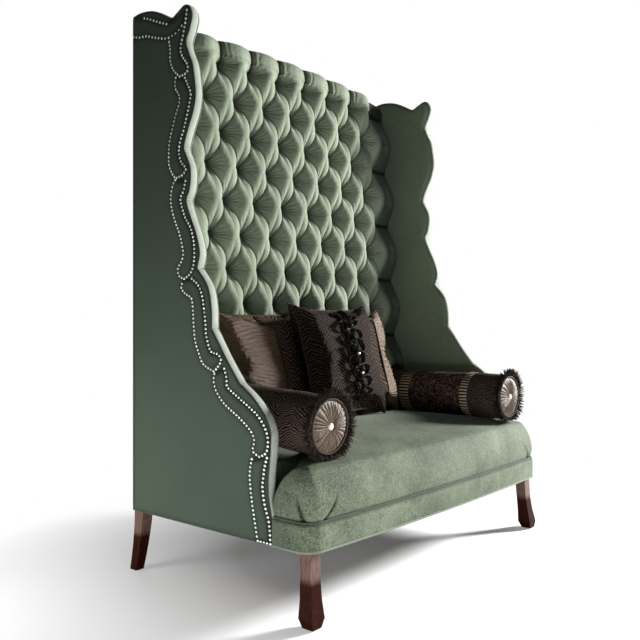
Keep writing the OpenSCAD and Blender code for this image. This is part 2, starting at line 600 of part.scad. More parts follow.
// Scatter cushions: crowned, with sides drawn in between the corners and a corded rim.
draw_share = 0.035;
rim_t = 6;
crown_power = 0.62;
cushion_n = 6;
function cushion_point(a, b, side) = [
    a * cushion_w / 2 * (1 - draw_share * (1 - b * b)),
    side * (rim_t / 2 + (cushion_t - rim_t) / 2 * pow((1 - a * a) * (1 - b * b), crown_power)),
    b * cushion_w / 2 * (1 - draw_share * (1 - a * a))];
cushion_rows = [for (k = [-cushion_n : cushion_n]) sin(90 * k / cushion_n)];
cushion_m = 2 * len(cushion_rows);
cushion_rings = [for (a = cushion_rows) concat([for (b = rev(cushion_rows)) cushion_point(a, b, -1)],
    [for (b = cushion_rows) cushion_point(a, b, 1)])];
function rim_faces(first) = [for (i = [0 : len(cushion_rows) - 2]) let(a = i, b = i + 1,
    c = cushion_m - 2 - i, d = cushion_m - 1 - i, o = (len(cushion_rows) - 1) * cushion_m)
    each (first ? [[a, b, c], [a, c, d]] : [[o + a, o + c, o + b], [o + a, o + d, o + c]])];
module cushion() polyhedron([for (r = cushion_rings) each r],
    concat(side_faces(len(cushion_rows), cushion_m), rim_faces(true), rim_faces(false)),
    convexity = 4);

// The cushions stand on the seat's crown and lean alike; the middle one stands in front.
cushion_half_h = cushion_w / 2 * cos(cushion_lean);
rear_cushion_z = seam_z + seat_h * 0.909 + cushion_half_h;
middle_cushion_z = seam_z + seat_h * 1.004 + cushion_half_h;
rear_cushion_d = 249.5;
middle_cushion_d = 360;
module lean_at(x, d, z) translate([x, fy(d), z]) rotate([-cushion_lean, 0, 0]) children();
left_cushion_x = left_cushion_share * inner_half;
middle_cushion_x = middle_cushion_share * inner_half;
right_cushion_x = right_cushion_share * inner_half;
module left_cushion() color(cocoa) lean_at(left_cushion_x, rear_cushion_d, rear_cushion_z)
    cushion();
module middle_cushion() color(cocoa) lean_at(middle_cushion_x, middle_cushion_d, middle_cushion_z)
    cushion();
module right_cushion() color(satin) lean_at(right_cushion_x, rear_cushion_d, rear_cushion_z)
    cushion();

// Bolsters: a stuffed tube whose gathered ends puff out and sink to a covered button.
bolster_x = half_w - bolster_side;
left_bolster_front_d = body_d - left_bolster_set;
right_bolster_front_d = body_d - right_bolster_set;
left_bolster_l = left_bolster_front_d - left_bolster_rear_d;
right_bolster_l = right_bolster_front_d - right_bolster_rear_d;
left_bolster_z = seam_z + seat_h * 0.796 + bolster_r;
right_bolster_z = seam_z + seat_h * 0.816 + bolster_r;
end_round = 16;
dish = 7;
puff = 9;
round_n = 5;
end_button_t = 6;
function bolster_end(s) = concat([[0, s * dish], [end_button_r, s * dish]],
    [[bolster_r * 0.35, -s * puff * 0.4], [bolster_r * 0.62, -s * puff * 0.4]],
    [for (k = [0 : round_n]) let(a = 90 * k / round_n)
        [bolster_r - end_round * (1 - sin(a)), s * end_round * (1 - cos(a))]]);
module bolster(l) rotate([90, 0, 0]) rotate_extrude($fn = 48)
    polygon(concat(bolster_end(1), [for (p = rev(bolster_end(-1))) [p[0], p[1] + l]]));
module bolster_buttons(l) rotate([90, 0, 0]) for (side = [0, 1])
    translate([0, 0, side * l]) mirror([0, 0, 1 - side]) translate([0, 0, -dish])
    rotate_extrude($fn = 32) polygon([[0, 0], [end_button_r, 0],
        [end_button_r, end_button_t / 2], [end_button_r / 2, end_button_t], [0, end_button_t]]);
module at_left_bolster() translate([-bolster_x, fy(left_bolster_front_d), left_bolster_z])
    rotate([left_bolster_dip, 0, 0]) translate([0, left_bolster_l, 0]) children();
module at_right_bolster() translate([bolster_x, fy(right_bolster_front_d), right_bolster_z])
    rotate([right_bolster_dip, 0, 0]) translate([0, right_bolster_l, 0]) children();
module left_bolster() color(cocoa) at_left_bolster() bolster(left_bolster_l);
module left_bolster_buttons() color(satin) at_left_bolster() bolster_buttons(left_bolster_l);
module right_bolster() color(cocoa) at_right_bolster() bolster(right_bolster_l);
module right_bolster_buttons() color(satin) at_right_bolster() bolster_buttons(right_bolster_l);

front_rail();
rear_rail();
left_side_rail();
right_side_rail();
centre_brace();
corner_blocks();
left_back_post();
right_back_post();
top_back_rail();
middle_back_rails();
lower_back_rail();
tufting_board();
left_wing_panel();
right_wing_panel();
seat_springs();
spring_clips();
deck_felt();
seat_foam();
seat_cover();
apron();
seat_piping();
tufted_back();
back_buttons();
outside_back();
left_wing_cover();
right_wing_cover();
left_edge_band();
right_edge_band();
left_wing_pad();
right_wing_pad();
dust_cover();
front_left_leg();
front_right_leg();
rear_left_leg();
rear_right_leg();
leg_bolts();
floor_glides();
left_cushion();
middle_cushion();
right_cushion();
left_bolster();
left_bolster_buttons();
right_bolster();
right_bolster_buttons();
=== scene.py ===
# %% [markdown]
# # A tall wing-back settee
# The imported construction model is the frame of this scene. It holds every rail, leg, panel and
# pad at its real size and place, in metres, with the floor at height 0 and the front towards
# minus Y. What follows dresses it: velvet, nails, pleats, cords and fringe, one piece at a time.

# %% Load the frame
import math
import bpy
import numpy as np
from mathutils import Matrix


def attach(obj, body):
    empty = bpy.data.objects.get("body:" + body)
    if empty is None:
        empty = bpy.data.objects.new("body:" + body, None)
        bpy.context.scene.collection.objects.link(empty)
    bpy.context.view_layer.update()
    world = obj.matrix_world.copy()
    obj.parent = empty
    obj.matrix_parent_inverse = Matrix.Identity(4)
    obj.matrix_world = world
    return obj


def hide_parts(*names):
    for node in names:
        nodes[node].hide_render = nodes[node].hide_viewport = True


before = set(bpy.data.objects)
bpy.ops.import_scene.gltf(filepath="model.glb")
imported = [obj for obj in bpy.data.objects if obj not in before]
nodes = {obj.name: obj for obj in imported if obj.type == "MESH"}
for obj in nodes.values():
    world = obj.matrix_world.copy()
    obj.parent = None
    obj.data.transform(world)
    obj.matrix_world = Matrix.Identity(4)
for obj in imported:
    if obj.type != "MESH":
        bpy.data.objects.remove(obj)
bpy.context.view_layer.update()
bpy.ops.object.select_all(action="DESELECT")
scene = bpy.context.scene

# %% [markdown]
# ## The camera
# The photograph looks at the settee from its left front, at sitting height, with upright lines
# kept upright. So the camera is level, and a small shift takes the place of a tilt.

# %% Camera
eye = bpy.data.cameras.new("camera")
eye.sensor_width = 36
eye.lens = 42.76
eye.shift_y = 0.0031
camera = bpy.data.objects.new("camera", eye)
scene.collection.objects.link(camera)
camera.location = (-2.1625, -1.6764, 0.8084)
camera.rotation_euler = (math.radians(90), 0, math.radians(-49.69))
scene.camera = camera
print("camera", tuple(round(c, 3) for c in camera.location))

# %% [markdown]
# ## A small language for finishes
# A finish is a graph of nodes. It is easier to read as sums, so a Wire wraps one socket and
# turns each sum on it into a Math node.

# %% Wires
class Wire:
    """One output socket that can be added, multiplied and compared."""

    def __init__(self, graph, socket):
        self.graph, self.socket = graph, socket

    def math(self, operation, *others):
        return self.graph.node("Math", {"operation": operation}, self, *others)

    def __add__(self, other):
        return self.math("ADD", other)

    def __mul__(self, other):
        return self.math("MULTIPLY", other)

    def __sub__(self, other):
        return self.math("SUBTRACT", other)

    def __rsub__(self, other):
        return self.graph.node("Math", {"operation": "SUBTRACT"}, other, self)

    def __truediv__(self, other):
        return self.math("DIVIDE", other)

    def __pow__(self, other):
        return self.math("POWER", other)

    __radd__ = __add__
    __rmul__ = __mul__

    def held(self):
        """The same value, kept between 0 and 1."""
        return self.math("MINIMUM", 1.0).math("MAXIMUM", 0.0)


print("a Wire can be summed")

# %% [markdown]
# ## Graphs and finishes
# A Graph is any tree of nodes. Its method node adds a node from its type, its settings and the
# values or wires of its sockets. A Finish is the graph of one material, round its principled
# shader. Patterns read the place of a point on the object, or the coordinates of the cloth.

# %% Graphs and finishes
class Graph:
    """A tree of nodes that is written as sums."""

    def __init__(self, tree):
        self.tree = tree

    def node(self, kind, settings=None, *values, out=0, **named):
        made = self.tree.nodes.new("ShaderNode" + kind)
        for key, value in (settings or {}).items():
            if key == "stops":
                for element, (place, colour) in zip(made.color_ramp.elements, value):
                    element.position = place
                    element.color = (*colour, 1)
            else:
                setattr(made, key, value)
        sockets = list(enumerate(values)) + [(k.replace("_", " "), v) for k, v in named.items()]
        for index, value in sockets:
            self.feed(made.inputs[index], value)
        return Wire(self, made.outputs[out])

    def feed(self, socket, value):
        if isinstance(value, Wire):
            self.tree.links.new(value.socket, socket)
        elif isinstance(value, tuple) and len(value) == 3 and socket.type == "RGBA":
            socket.default_value = (*value, 1)
        elif value is not None:
            socket.default_value = value

    def noise(self, place, scale, detail=2.0, rough=0.5, warp=0.0):
        return self.node("TexNoise", None, Vector=place, Scale=scale, Detail=detail,
                         Roughness=rough, Distortion=warp)

    def ramp(self, factor, *stops):
        return self.node("ValToRGB", {"stops": stops}, factor)

    def mix(self, factor, one, two):
        """Two colours mixed: the Mix node has its factor first and its colours at 6 and 7."""
        skipped = [None] * 5
        return self.node("Mix", {"data_type": "RGBA"}, factor, *skipped, one, two, out=2)

    def stretched(self, place, x, y, z):
        return self.node("Mapping", None, Vector=place, Scale=(x, y, z))

    def apart(self, place):
        first = self.node("SeparateXYZ", None, place)
        return [Wire(self, output) for output in first.socket.node.outputs]

    def bump(self, height, distance, strength=1.0, over=None):
        return self.node("Bump", None, Height=height, Distance=distance, Strength=strength, Normal=over)

    def mark(self, name):
        return self.node("Attribute", {"attribute_name": name}, out="Fac")


class Finish(Graph):
    """One material, made from nodes round its principled shader."""

    def __init__(self, name):
        self.material = bpy.data.materials.new(name)
        self.material.use_nodes = True
        super().__init__(self.material.node_tree)
        self.shader = self.tree.nodes["Principled BSDF"]

    def set(self, **sockets):
        for name, value in sockets.items():
            self.feed(self.shader.inputs[name.replace("_", " ")], value)

    def place(self):
        return self.node("TexCoord", out="Object")

    def cloth_place(self):
        return self.node("UVMap", {"uv_map": "cloth"})


def srgb(r, g, b):
    """A colour as a screen shows it, 0 to 255, made linear as a shader takes it."""
    return tuple((c / 255 / 12.92) if c <= 10 else ((c / 255 + 0.055) / 1.055) ** 2.4 for c in (r, g, b))


def share_of(colour, share):
    return tuple(c * share for c in colour)


print("graphs and finishes ready")

# %% [markdown]
# ## The white background
# The white of the background is what the camera and reflections see. On the settee itself the
# world sheds hardly any light, so that the lamps alone shape its folds.

# %% World
LIGHT_SHARE, SHINE_SHARE = 0.03, 0.40
world = bpy.data.worlds.new("studio")
scene.world = world
world.use_nodes = True
sky = Graph(world.node_tree)
in_gloss = sky.node("LightPath", out="Is Glossy Ray")
in_view = sky.node("LightPath", out="Is Camera Ray")
background = sky.tree.nodes["Background"]
sky.feed(background.inputs["Strength"], in_view.math("MAXIMUM", in_gloss * SHINE_SHARE + LIGHT_SHARE))
sky.feed(background.inputs["Color"], (1, 1, 1))
scene.view_settings.view_transform = "Standard"
print("world:", LIGHT_SHARE, "of the white lights the settee")

# %% [markdown]
# ## Lamps
# The main lamp stands far to the right, a little in front and above, as in the photograph,
# where the left side lies in shade. A weak one fills from the left front and one lights the
# back. Two low ones near the left side stand for light that a white floor throws up.

# %% Lamps
def lamp(name, place, target, size, watts):
    """A round soft lamp at a place, turned to its target."""
    data = bpy.data.lights.new(name, "AREA")
    data.shape = "DISK"
    data.size = size
    data.energy = watts
    made = bpy.data.objects.new(name, data)
    scene.collection.objects.link(made)
    made.location = place
    x, y, z = [t - p for t, p in zip(target, place)]
    made.rotation_euler = (math.atan2(math.hypot(x, y), -z), 0, math.atan2(y, x) - math.pi / 2)


lamp("key", (4.45, -2.3, 2.2), (0, 0, 0.9), 1.1, 930)
lamp("fill", (-1.7, -3.4, 1.1), (0, 0, 0.6), 1.6, 9)
lamp("behind", (0.9, 3.4, 1.6), (0, 0.4, 0.9), 1.6, 20)
lamp("floor_glow_front", (-1.15, -0.95, 0.12), (-0.62, -0.36, 0.40), 0.5, 9.0)
lamp("floor_glow", (-1.55, 0.55, 0.15), (-0.7, 0.05, 0.25), 0.7, 15)

# %% [markdown]
# ## Floor
# The floor takes the shadow near the settee. Further away it fades into the white of the
# background, for the camera alone, so that no horizon shows.

# %% Floor
CLEAR_REACH, FADE_WIDTH, FRONT_LEAN = 0.45, 1.05, 0.15
bpy.ops.mesh.primitive_plane_add(size=12, location=(0, 0, 0))
floor = bpy.context.object
floor.name = "floor"
ground = Finish("white_floor")
across, along, _ = ground.apart(ground.place())
far = ((across * across + along * along) ** 0.5 + along * FRONT_LEAN - CLEAR_REACH) / FADE_WIDTH
ground.set(Base_Color=(0.90, 0.90, 0.90), Roughness=0.9, Specular_IOR_Level=0.1)
surface = ground.node("MixShader", None, far.held() * ground.node("LightPath", out="Is Camera Ray"),
                      Wire(ground, ground.shader.outputs[0]), ground.node("Emission", None, Strength=1.0))
ground.feed(ground.tree.nodes["Material Output"].inputs[0], surface)
floor.data.materials.append(ground.material)
print("floor fades over", FADE_WIDTH, "m")

# %% [markdown]
# ## Velvet
# Velvet is a short upright pile. Its colour changes with the way the pile was last stroked, so
# it looks clouded, and its rim catches light. Here slow noise makes the clouds, fine noise the
# pile, and the sheen of the shader the light rim. In folds, creases and pits a mark on the mesh
# paints shade into the colour, down to near black. On the buttoned back the cloth also
# gathers in fine rays round each button, whose diamonds the cloth coordinates count.

# %% Velvet finishes
PITCH, RISE = 0.146, 0.1195


def button_rays(cloth, here, normal):
    """Gathers that fan out of each button, laid over a normal."""
    p, q, _ = cloth.apart(cloth.cloth_place())
    dp = p - p.math("ROUND")
    dq = q - q.math("ROUND")
    side, rise = (dp + dq) * (PITCH / 2), (dp - dq) * RISE
    reach = (side * side + rise * rise) ** 0.5
    ruffle = (side.math("ARCTAN2", rise) * -19 - cloth.noise(here, 24.0) * 9).math("SINE")
    fade = (reach * -34).math("EXPONENT") * (1 - (reach * -170).math("EXPONENT"))
    return cloth.bump(ruffle * fade, 0.0040, 0.8, normal)


def velvet(name, light, dark, cloud, gain=1.0, speck=0.35, sheen=0.32, painted_shade=True, gathers=False):
    cloth = Finish(name)
    here = cloth.place()
    clouds = cloth.noise(here, 5.0, 4.0, 0.6, 0.4)
    stroke = cloth.noise(cloth.stretched(here, 1, 1, 0.7), 44.0, 6.0, 0.78, 0.8)
    specks = cloth.noise(here, 230.0, 3.0, 0.7)
    pile = cloth.noise(here, 1500.0, 1.0)
    tone = (clouds * 0.55 + stroke * 0.45 - 0.5) * cloud + (specks - 0.5) * speck + (pile - 0.5) * 0.2
    colour = cloth.ramp(tone * gain + 0.5, (0.0, dark), (1.0, light))
    # painted shade: where the mark is high, the colour goes to near black, in folds, creases and pits
    if painted_shade:
        colour = cloth.mix(cloth.mark("painted_shade"), colour, share_of(dark, 0.06))
    normal = cloth.bump(specks * 0.5 + pile * 0.5 + stroke * 0.6, 0.0007, 0.7)
    if gathers:
        normal = button_rays(cloth, here, normal)
    cloth.set(Base_Color=colour, Roughness=0.6 + stroke * 0.35, Normal=normal, Sheen_Weight=sheen,
              Sheen_Roughness=0.30, Sheen_Tint=(0.78, 0.86, 0.74), Specular_IOR_Level=0.12)
    return cloth.material


velvet_plain = velvet("sage_velvet", srgb(126, 138, 118), srgb(76, 87, 72), 0.7)
velvet_seat = velvet("sage_velvet_seat", srgb(114, 123, 104), srgb(42, 51, 37), 1.0, 2.2, 0.95, 0.2)
velvet_tufted = velvet("sage_velvet_tufted", srgb(146, 156, 136), srgb(62, 72, 56), 0.9, sheen=0.22,
                       gathers=True)
# painted shade: a darker copy of the sage velvet, for the wings' outsides, the outside back and its cord, and
# the seat's piping
velvet_shade = velvet("sage_velvet_outside_shaded", srgb(72, 84, 71), srgb(46, 57, 46), 0.6)
# painted highlight: a paler copy of the sage velvet, for the edge bands that face the lamp
velvet_band_lit = velvet("sage_velvet_band", srgb(176, 182, 170), srgb(112, 120, 108), 0.9, 1.5)
# painted shade: a far darker copy of the sage velvet, for the buttons deep in their pits and the tape under
# the nails
velvet_pit_shaded = velvet("sage_velvet_pit", srgb(44, 52, 42), srgb(24, 30, 24), 0.5, sheen=0.1, painted_shade=False)
print("velvets:", [m.name for m in bpy.data.materials if "velvet" in m.name])

# %% [markdown]
# ## Nets and pieces
# A padded piece is a sheet of points in rows, so one helper joins rows of points with faces. A
# tube of rows is closed by a face at each end. Each piece rides on a body of the frame and takes
# one finish.

# %% Nets and pieces
def unit(v):
    return v / np.maximum(np.linalg.norm(v, axis=-1, keepdims=True), 1e-12)


def net(rows, cols, round_cols=False):
    """Faces that join rows x cols points."""
    i, j = np.meshgrid(np.arange(rows - 1), np.arange(cols - (not round_cols)), indexing="ij")
    k, m = i + 1, (j + 1) % cols
    return np.stack([i * cols + j, i * cols + m, k * cols + m, k * cols + j], -1).reshape(-1, 4)


def turned(faces):
    """The same faces, seen from their other side."""
    return [face[::-1] for face in faces]


def tube_faces(rows, cols, sides=None):
    """The faces of a closed tube of points: its sides, and one face at each end."""
    sides = net(rows, cols, round_cols=True) if sides is None else sides
    return sides.tolist() + [list(range(cols))[::-1], [(rows - 1) * cols + i for i in range(cols)]]


def rim_of(rows, cols):
    """The numbers of the points round a net, from the end of its first row, once round."""
    right, left = [r * cols + cols - 1 for r in range(rows)], [r * cols for r in range(rows - 1)]
    top = [(rows - 1) * cols + c for c in range(cols - 1)]
    return np.array(right + top[::-1] + left[::-1] + list(range(1, cols - 1)))


def piece(name, points, faces, finish, body="settee", replaces=(), uv=None, painted_shade=None):
    """A named mesh at the origin, with its place in its points, that rides on a body."""
    points = np.asarray(points, float).reshape(-1, 3)
    mesh = bpy.data.meshes.new(name)
    mesh.from_pydata(points.tolist(), [], [list(map(int, face)) for face in faces])
    mesh.update()
    if uv is not None:
        corner = np.zeros(len(mesh.loops), np.int32)
        mesh.loops.foreach_get("vertex_index", corner)
        layer = mesh.uv_layers.new(name="cloth")
        layer.data.foreach_set("uv", np.asarray(uv, np.float32).reshape(-1, 2)[corner].ravel())
    if painted_shade is not None:
        mark = mesh.attributes.new("painted_shade", "FLOAT", "POINT")
        mark.data.foreach_set("value", np.asarray(painted_shade, np.float32).ravel())
    mesh.materials.append(finish)
    mesh.shade_smooth()
    made = bpy.data.objects.new(name, mesh)
    scene.collection.objects.link(made)
    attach(made, body)
    if replaces:
        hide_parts(*replaces)
    return made


def merged(parts):
    """Several meshes' points and faces as one."""
    points, faces, start = [], [], 0
    for part_points, part_faces in parts:
        points.append(np.asarray(part_points).reshape(-1, 3))
        faces += [[start + i for i in face] for face in part_faces]
        start += len(points[-1])
    return np.concatenate(points), faces


print("nets and pieces ready")

# %% [markdown]
# ## Curves and cords
# Outlines are smooth curves through a few measured knots. A cord is drawn along a path as a
# round tube, and its bulge lets it swell and shrink like a twisted one. Nothing sewn is quite
# even, so wander gives a slow waviness that is the same on each run.

# %% Curves and cords
def spline(knots, per_span):
    """A smooth curve through knots."""
    k = np.asarray(knots, float)
    k = np.concatenate([k[:1], k, k[-1:]])
    out = []
    for a, b, c, d in zip(k[:-3], k[1:-2], k[2:-1], k[3:]):
        square, cube = 2 * a - 5 * b + 4 * c - d, 3 * b - a - 3 * c + d
        for t in np.arange(per_span) / per_span:
            out.append((2 * b + (c - a) * t + square * t * t + cube * t ** 3) / 2)
    return np.array(out + [k[-2]])


def run_along(path):
    """How far each point of a path lies from its start."""
    return np.concatenate([[0], np.cumsum(np.linalg.norm(np.diff(path, axis=0), axis=1))])


def evenly(path, step):
    """Points on a path at equal steps."""
    path = np.asarray(path, float)
    run = run_along(path)
    at = np.linspace(0, run[-1], max(int(round(run[-1] / step)), 1) + 1)
    return np.stack([np.interp(at, run, path[:, c]) for c in range(path.shape[1])], -1)


def cord_mesh(path, radius, sides=8, twist=0.0, bulge=None):
    """Points and faces of a round cord along a path, closed at its ends."""
    path = np.asarray(path, float)
    way = unit(np.gradient(path, axis=0))
    side = np.cross(way[0], [0.3, 0.2, 1.0])
    rings = []
    for k, (p, t) in enumerate(zip(path, way)):
        side = unit(side - t * np.dot(side, t))
        other = np.cross(t, side)
        a = 2 * math.pi * np.arange(sides) / sides + twist * k
        r = radius if bulge is None else radius * bulge[k]
        rings.append(p + r * (np.cos(a)[:, None] * side + np.sin(a)[:, None] * other))
    return np.concatenate(rings), tube_faces(len(path), sides)


def wander(points, scale, seed):
    """Slow, smooth, repeatable irregularity, about -1 to 1, from sums of waves."""
    rng = np.random.default_rng(seed)
    total = np.zeros(points.shape[:-1])
    for _ in range(7):
        d = rng.normal(size=points.shape[-1])
        d = d / np.linalg.norm(d) * scale * (0.6 + 0.9 * rng.random())
        total += np.sin(points @ d + rng.random() * 6.28)
    return total / 3.2


def flat_wander(flat, scale, seed):
    """The same on points of a plane."""
    return wander(np.column_stack([flat, flat[:, 0] * 0]), scale, seed)


print("curves and cords ready")

# %% [markdown]
# ## The sizes the pieces share
# These repeat the main sizes of the construction model, in metres: the rear face, the wings'
# outline as shares of their depth and height, the plan of the front, the slope of the back.

# %% Shared sizes
BACK_Y, HALF_W, INNER_HALF, TUFT_HALF, PANEL_IN = 0.3775, 0.680, 0.635, 0.6347, 0.654
UNDER_H, SEAM_Z, BACK_H, FRONT_Y, BOW, CORNER_R = 0.200, 0.277, 1.608, -0.3875, 0.016, 0.052
WING_D, WING_H, COVER_T, STEP_Y, FRONT_HALF = 0.622, 1.598, 0.004, -0.2488, 0.628
BOARD_FOOT, RAKE_DEGREES = 0.162, 4.1
HANDS = ((-1, "left"), (1, "right"))
WING_RUNS = [
    [(1, .0482), (.979, .085), (.977, .115), (.994, .176), (.984, .201), (.946, .225), (.877, .251),
     (.794, .272)],
    [(.794, .272), (.709, .313), (.649, .345), (.604, .369)],
    [(.604, .369), (.602, .407), (.575, .447), (.5, .481)],
    [(.5, .481), (.519, .508), (.498, .54), (.452, .578), (.421, .609), (.442, .627), (.453, .651),
     (.446, .675), (.415, .698), (.403, .713), (.431, .742), (.474, .777), (.488, .81), (.468, .861),
     (.442, .884), (.419, .909), (.446, .932), (.463, .955), (.442, .974), (.405, .98), (.345, .97),
     (.307, .966), (.228, .982), (.147, .995), (.064, 1), (0, .998)]]


def wing_points(shares):
    s = np.asarray(shares, float)
    return np.stack([BACK_Y - COVER_T - s[:, 0] * WING_D, UNDER_H + s[:, 1] * WING_H], -1)


def from_back(depth):
    return BACK_Y - depth


def board_depth(z):
    """How far in front of the rear face the sloping board stands at a height."""
    return BOARD_FOOT - z * math.tan(math.radians(RAKE_DEGREES))


def front_path(inset, from_y, corner_steps=14, bow_steps=62):
    """The plan of the front, from the left wing round the bow to the right wing."""
    r, cy = CORNER_R - inset, FRONT_Y + CORNER_R
    a = np.radians(180 + 90 * np.linspace(0, 1, corner_steps))
    left = np.stack([r * np.cos(a) - FRONT_HALF, cy + r * np.sin(a)], -1)
    x = np.linspace(-FRONT_HALF, FRONT_HALF, bow_steps)[1:-1]
    bow_y = FRONT_Y - BOW * (1 - np.minimum(np.abs(x) / FRONT_HALF, 1) ** 2)
    ends = [[[inset - HALF_W, from_y]], [[HALF_W - inset, from_y]]]
    return np.concatenate([ends[0], left, np.stack([x, bow_y + inset], -1), left[::-1] * [-1, 1], ends[1]])


def back_top(x):
    return UNDER_H + BACK_H - 0.026 * np.minimum(np.abs(x) / INNER_HALF, 1) ** 2


wing_curves = [spline(wing_points(run), 8) for run in WING_RUNS]
wing_edge = np.concatenate([curve[:-1] for curve in wing_curves[:-1]] + wing_curves[-1:])
top_corner = int(np.argmin(np.abs(wing_edge - wing_points([(.442, .974)])[0]).sum(1)))
print("wing edge:", len(wing_edge), "points, top corner at", top_corner)

# %% [markdown]
# ## The swell of a diamond
# Each button is pulled through the padding to the board behind, and the spare velvet is folded
# into pleats that run from button to button. The swell of the padding is written as a height
# over the diamond pattern. Across, u counts half spacings of the buttons, and down, w counts
# rows. Turned by a half right angle they become p and q, which are whole at each button.

# %% Swell and fold of the back
TUFT_TOP, PUFF, PIT = 1.708, 0.061, 0.006
U_LAST, ROLL_H, ROLL_T = 7, 0.062, 0.030
ROLL_FULL, PLEAT_WIDTH = 0.34, 0.17


def diamonds(u, w):
    """The height of the padding, 0 to 1, and the painted shade of its folds and pits."""
    p, q = (u + w - 1) / 2, (u - w - 1) / 2
    a, b = np.abs(np.sin(np.pi * p)), np.abs(np.sin(np.pi * q))
    near, far = np.minimum(a, b), np.maximum(a, b)
    groove = 0.19 * np.exp(-(near / 0.050) ** 2) * far ** 0.7
    height = 0.62 * far ** 0.95 + 0.41 * (a * b) ** 0.90 - groove
    # painted shade: dark along each fold, and round each button where the puffs meet
    dark = np.exp(-(near / 0.060) ** 2) + 0.80 * np.exp(-(far / 0.46) ** 2)
    return height, np.clip(dark, 0, 1)


def swell(u, w):
    """The same with the plain roll over the top row and the flat strips at the sides."""
    across = np.minimum(np.abs(u), U_LAST)
    above = np.minimum(np.maximum(-w, 0), 1)
    v, line = diamonds(across, np.maximum(w, 0))
    side = np.maximum(np.abs(u) - U_LAST, 0) * PITCH / 2 / (TUFT_HALF - U_LAST * PITCH / 2)
    pleat = np.exp(-(np.abs(np.cos(np.pi * across / 2)) / PLEAT_WIDTH) ** 2) * (w < 0)
    fill = (1 - np.cos(np.pi * np.minimum(above / ROLL_FULL, 1))) / 2
    raised = v + (1 - v) * 0.72 * fill - 0.17 * pleat * fill
    # painted shade: the pleats over the roll, and the side strips by the wings, darkened as in the wings'
    # shadow
    dark = np.maximum(line * (1 - fill) + pleat * fill * 0.9, 0.78 * np.clip(side * 4, 0, 1))
    return raised * (1 - 0.35 * side ** 2), dark


print("swell in the middle of a diamond:", round(float(swell(np.array(1.0), np.array(1.0))[0]), 3))

# %% [markdown]
# ## The deep-buttoned back
# The back is a net of columns, each drawn up the front, over the roll and down behind. Its lines
# lie along the pleats, so every fold is crisp, and each four-sided face is cut along the fold
# that crosses it. Over the top row the columns sway a little, as pulled cloth does.

# %% Tufted back
FINE = 20
SWAY, DIP, BACK_GAP = 0.008, 0.07, 0.004
foot_z = SEAM_Z + 0.193 * 0.64
last_column = int(TUFT_HALF / (PITCH / 2 / FINE))
column_x = np.arange(-last_column, last_column + 1) * PITCH / 2 / FINE
column_x = np.concatenate([[-TUFT_HALF], column_x, [TUFT_HALF]])
row_w = np.arange(0, 10.93, 1 / FINE)[::-1]
ROLL_SECTION = [(0, .55), (.05, .74), (.22, .94), (.45, 1), (.68, .95), (.86, .78), (.97, .45), (1, 0)]
roll = spline(ROLL_SECTION, 4)[::-1]


def back_column(x):
    """One column's points, the painted shade of its folds, and its place in the diamonds."""
    u, top = 2 * x / PITCH, back_top(x)
    roll_z = top - ROLL_H
    w_roll = (TUFT_TOP - roll_z) / RISE
    w = np.concatenate([[(TUFT_TOP - foot_z) / RISE], row_w, np.linspace(0, w_roll, 7)[1:]])
    z = TUFT_TOP - w * RISE
    height, line = swell(u, w)
    sway = SWAY * np.sin(2 * np.pi * np.clip(-w / 0.50, 0, 1)) * np.clip(U_LAST - abs(u), 0, 1)
    front = np.stack([x + sway, from_back(board_depth(z) + PIT + PUFF * height), z], -1)
    thick = board_depth(roll_z) + PIT + PUFF * swell(u, w_roll)[0]
    notch, low = swell(u, -1.0)[0], swell(np.array(1.0), -1.0)[0]
    dip = 1 - DIP * (1 - np.clip((notch - low) / (1 - low), 0, 1) ** 0.35)
    over_z = roll_z + ROLL_H * dip * roll[:, 1]
    over = np.stack([np.full(len(roll), x), from_back(thick * roll[:, 0]), over_z], -1)
    behind = [[x, from_back(BACK_GAP), top - ROLL_T - 0.002],
              [x, from_back(board_depth(top - ROLL_T)), top - ROLL_T],
              [x, from_back(board_depth(foot_z)), foot_z]]
    # painted shade over the roll: the top row's fold shade at the front, about a quarter dark behind
    shade = line[-1] + (0.25 - 0.3 * line[-1]) * np.linspace(0, 1, len(roll))
    w_all = np.concatenate([w, np.linspace(w_roll, -0.5, len(roll)), np.full(3, -0.5)])
    return (np.concatenate([front, over, behind]), np.concatenate([line, shade, np.zeros(3)]),
            np.stack([(u + w_all - 1) / 2, (u - w_all - 1) / 2], -1))


back_points, back_painted_shade, back_pq = [np.array(part) for part in zip(*map(back_column, column_x))]
quads = net(*back_points.shape[:2], round_cols=True)
depth_of = back_points.reshape(-1, 3)[quads, 1]
first = np.abs(depth_of[:, 0] - depth_of[:, 2]) <= np.abs(depth_of[:, 1] - depth_of[:, 3])
tris = np.where(first[:, None], quads[:, [0, 1, 2, 0, 2, 3]], quads[:, [1, 2, 3, 1, 3, 0]]).reshape(-1, 3)
back_faces = turned(tube_faces(*back_points.shape[:2], tris))
back = piece("tufted_back_velvet", back_points, back_faces, velvet_tufted,
             replaces=("tufted_back",), uv=back_pq, painted_shade=np.clip(back_painted_shade, 0, 1))
print("tufted back:", len(tris), "triangles")

# %% [markdown]
# ## A small turned form
# Buttons, nails and studs are small domes. Each is drawn once: a flat disc is extruded
# and scaled in steps, so that its rim stands up and its crown is bevelled. Then its mesh is
# copied to every place.

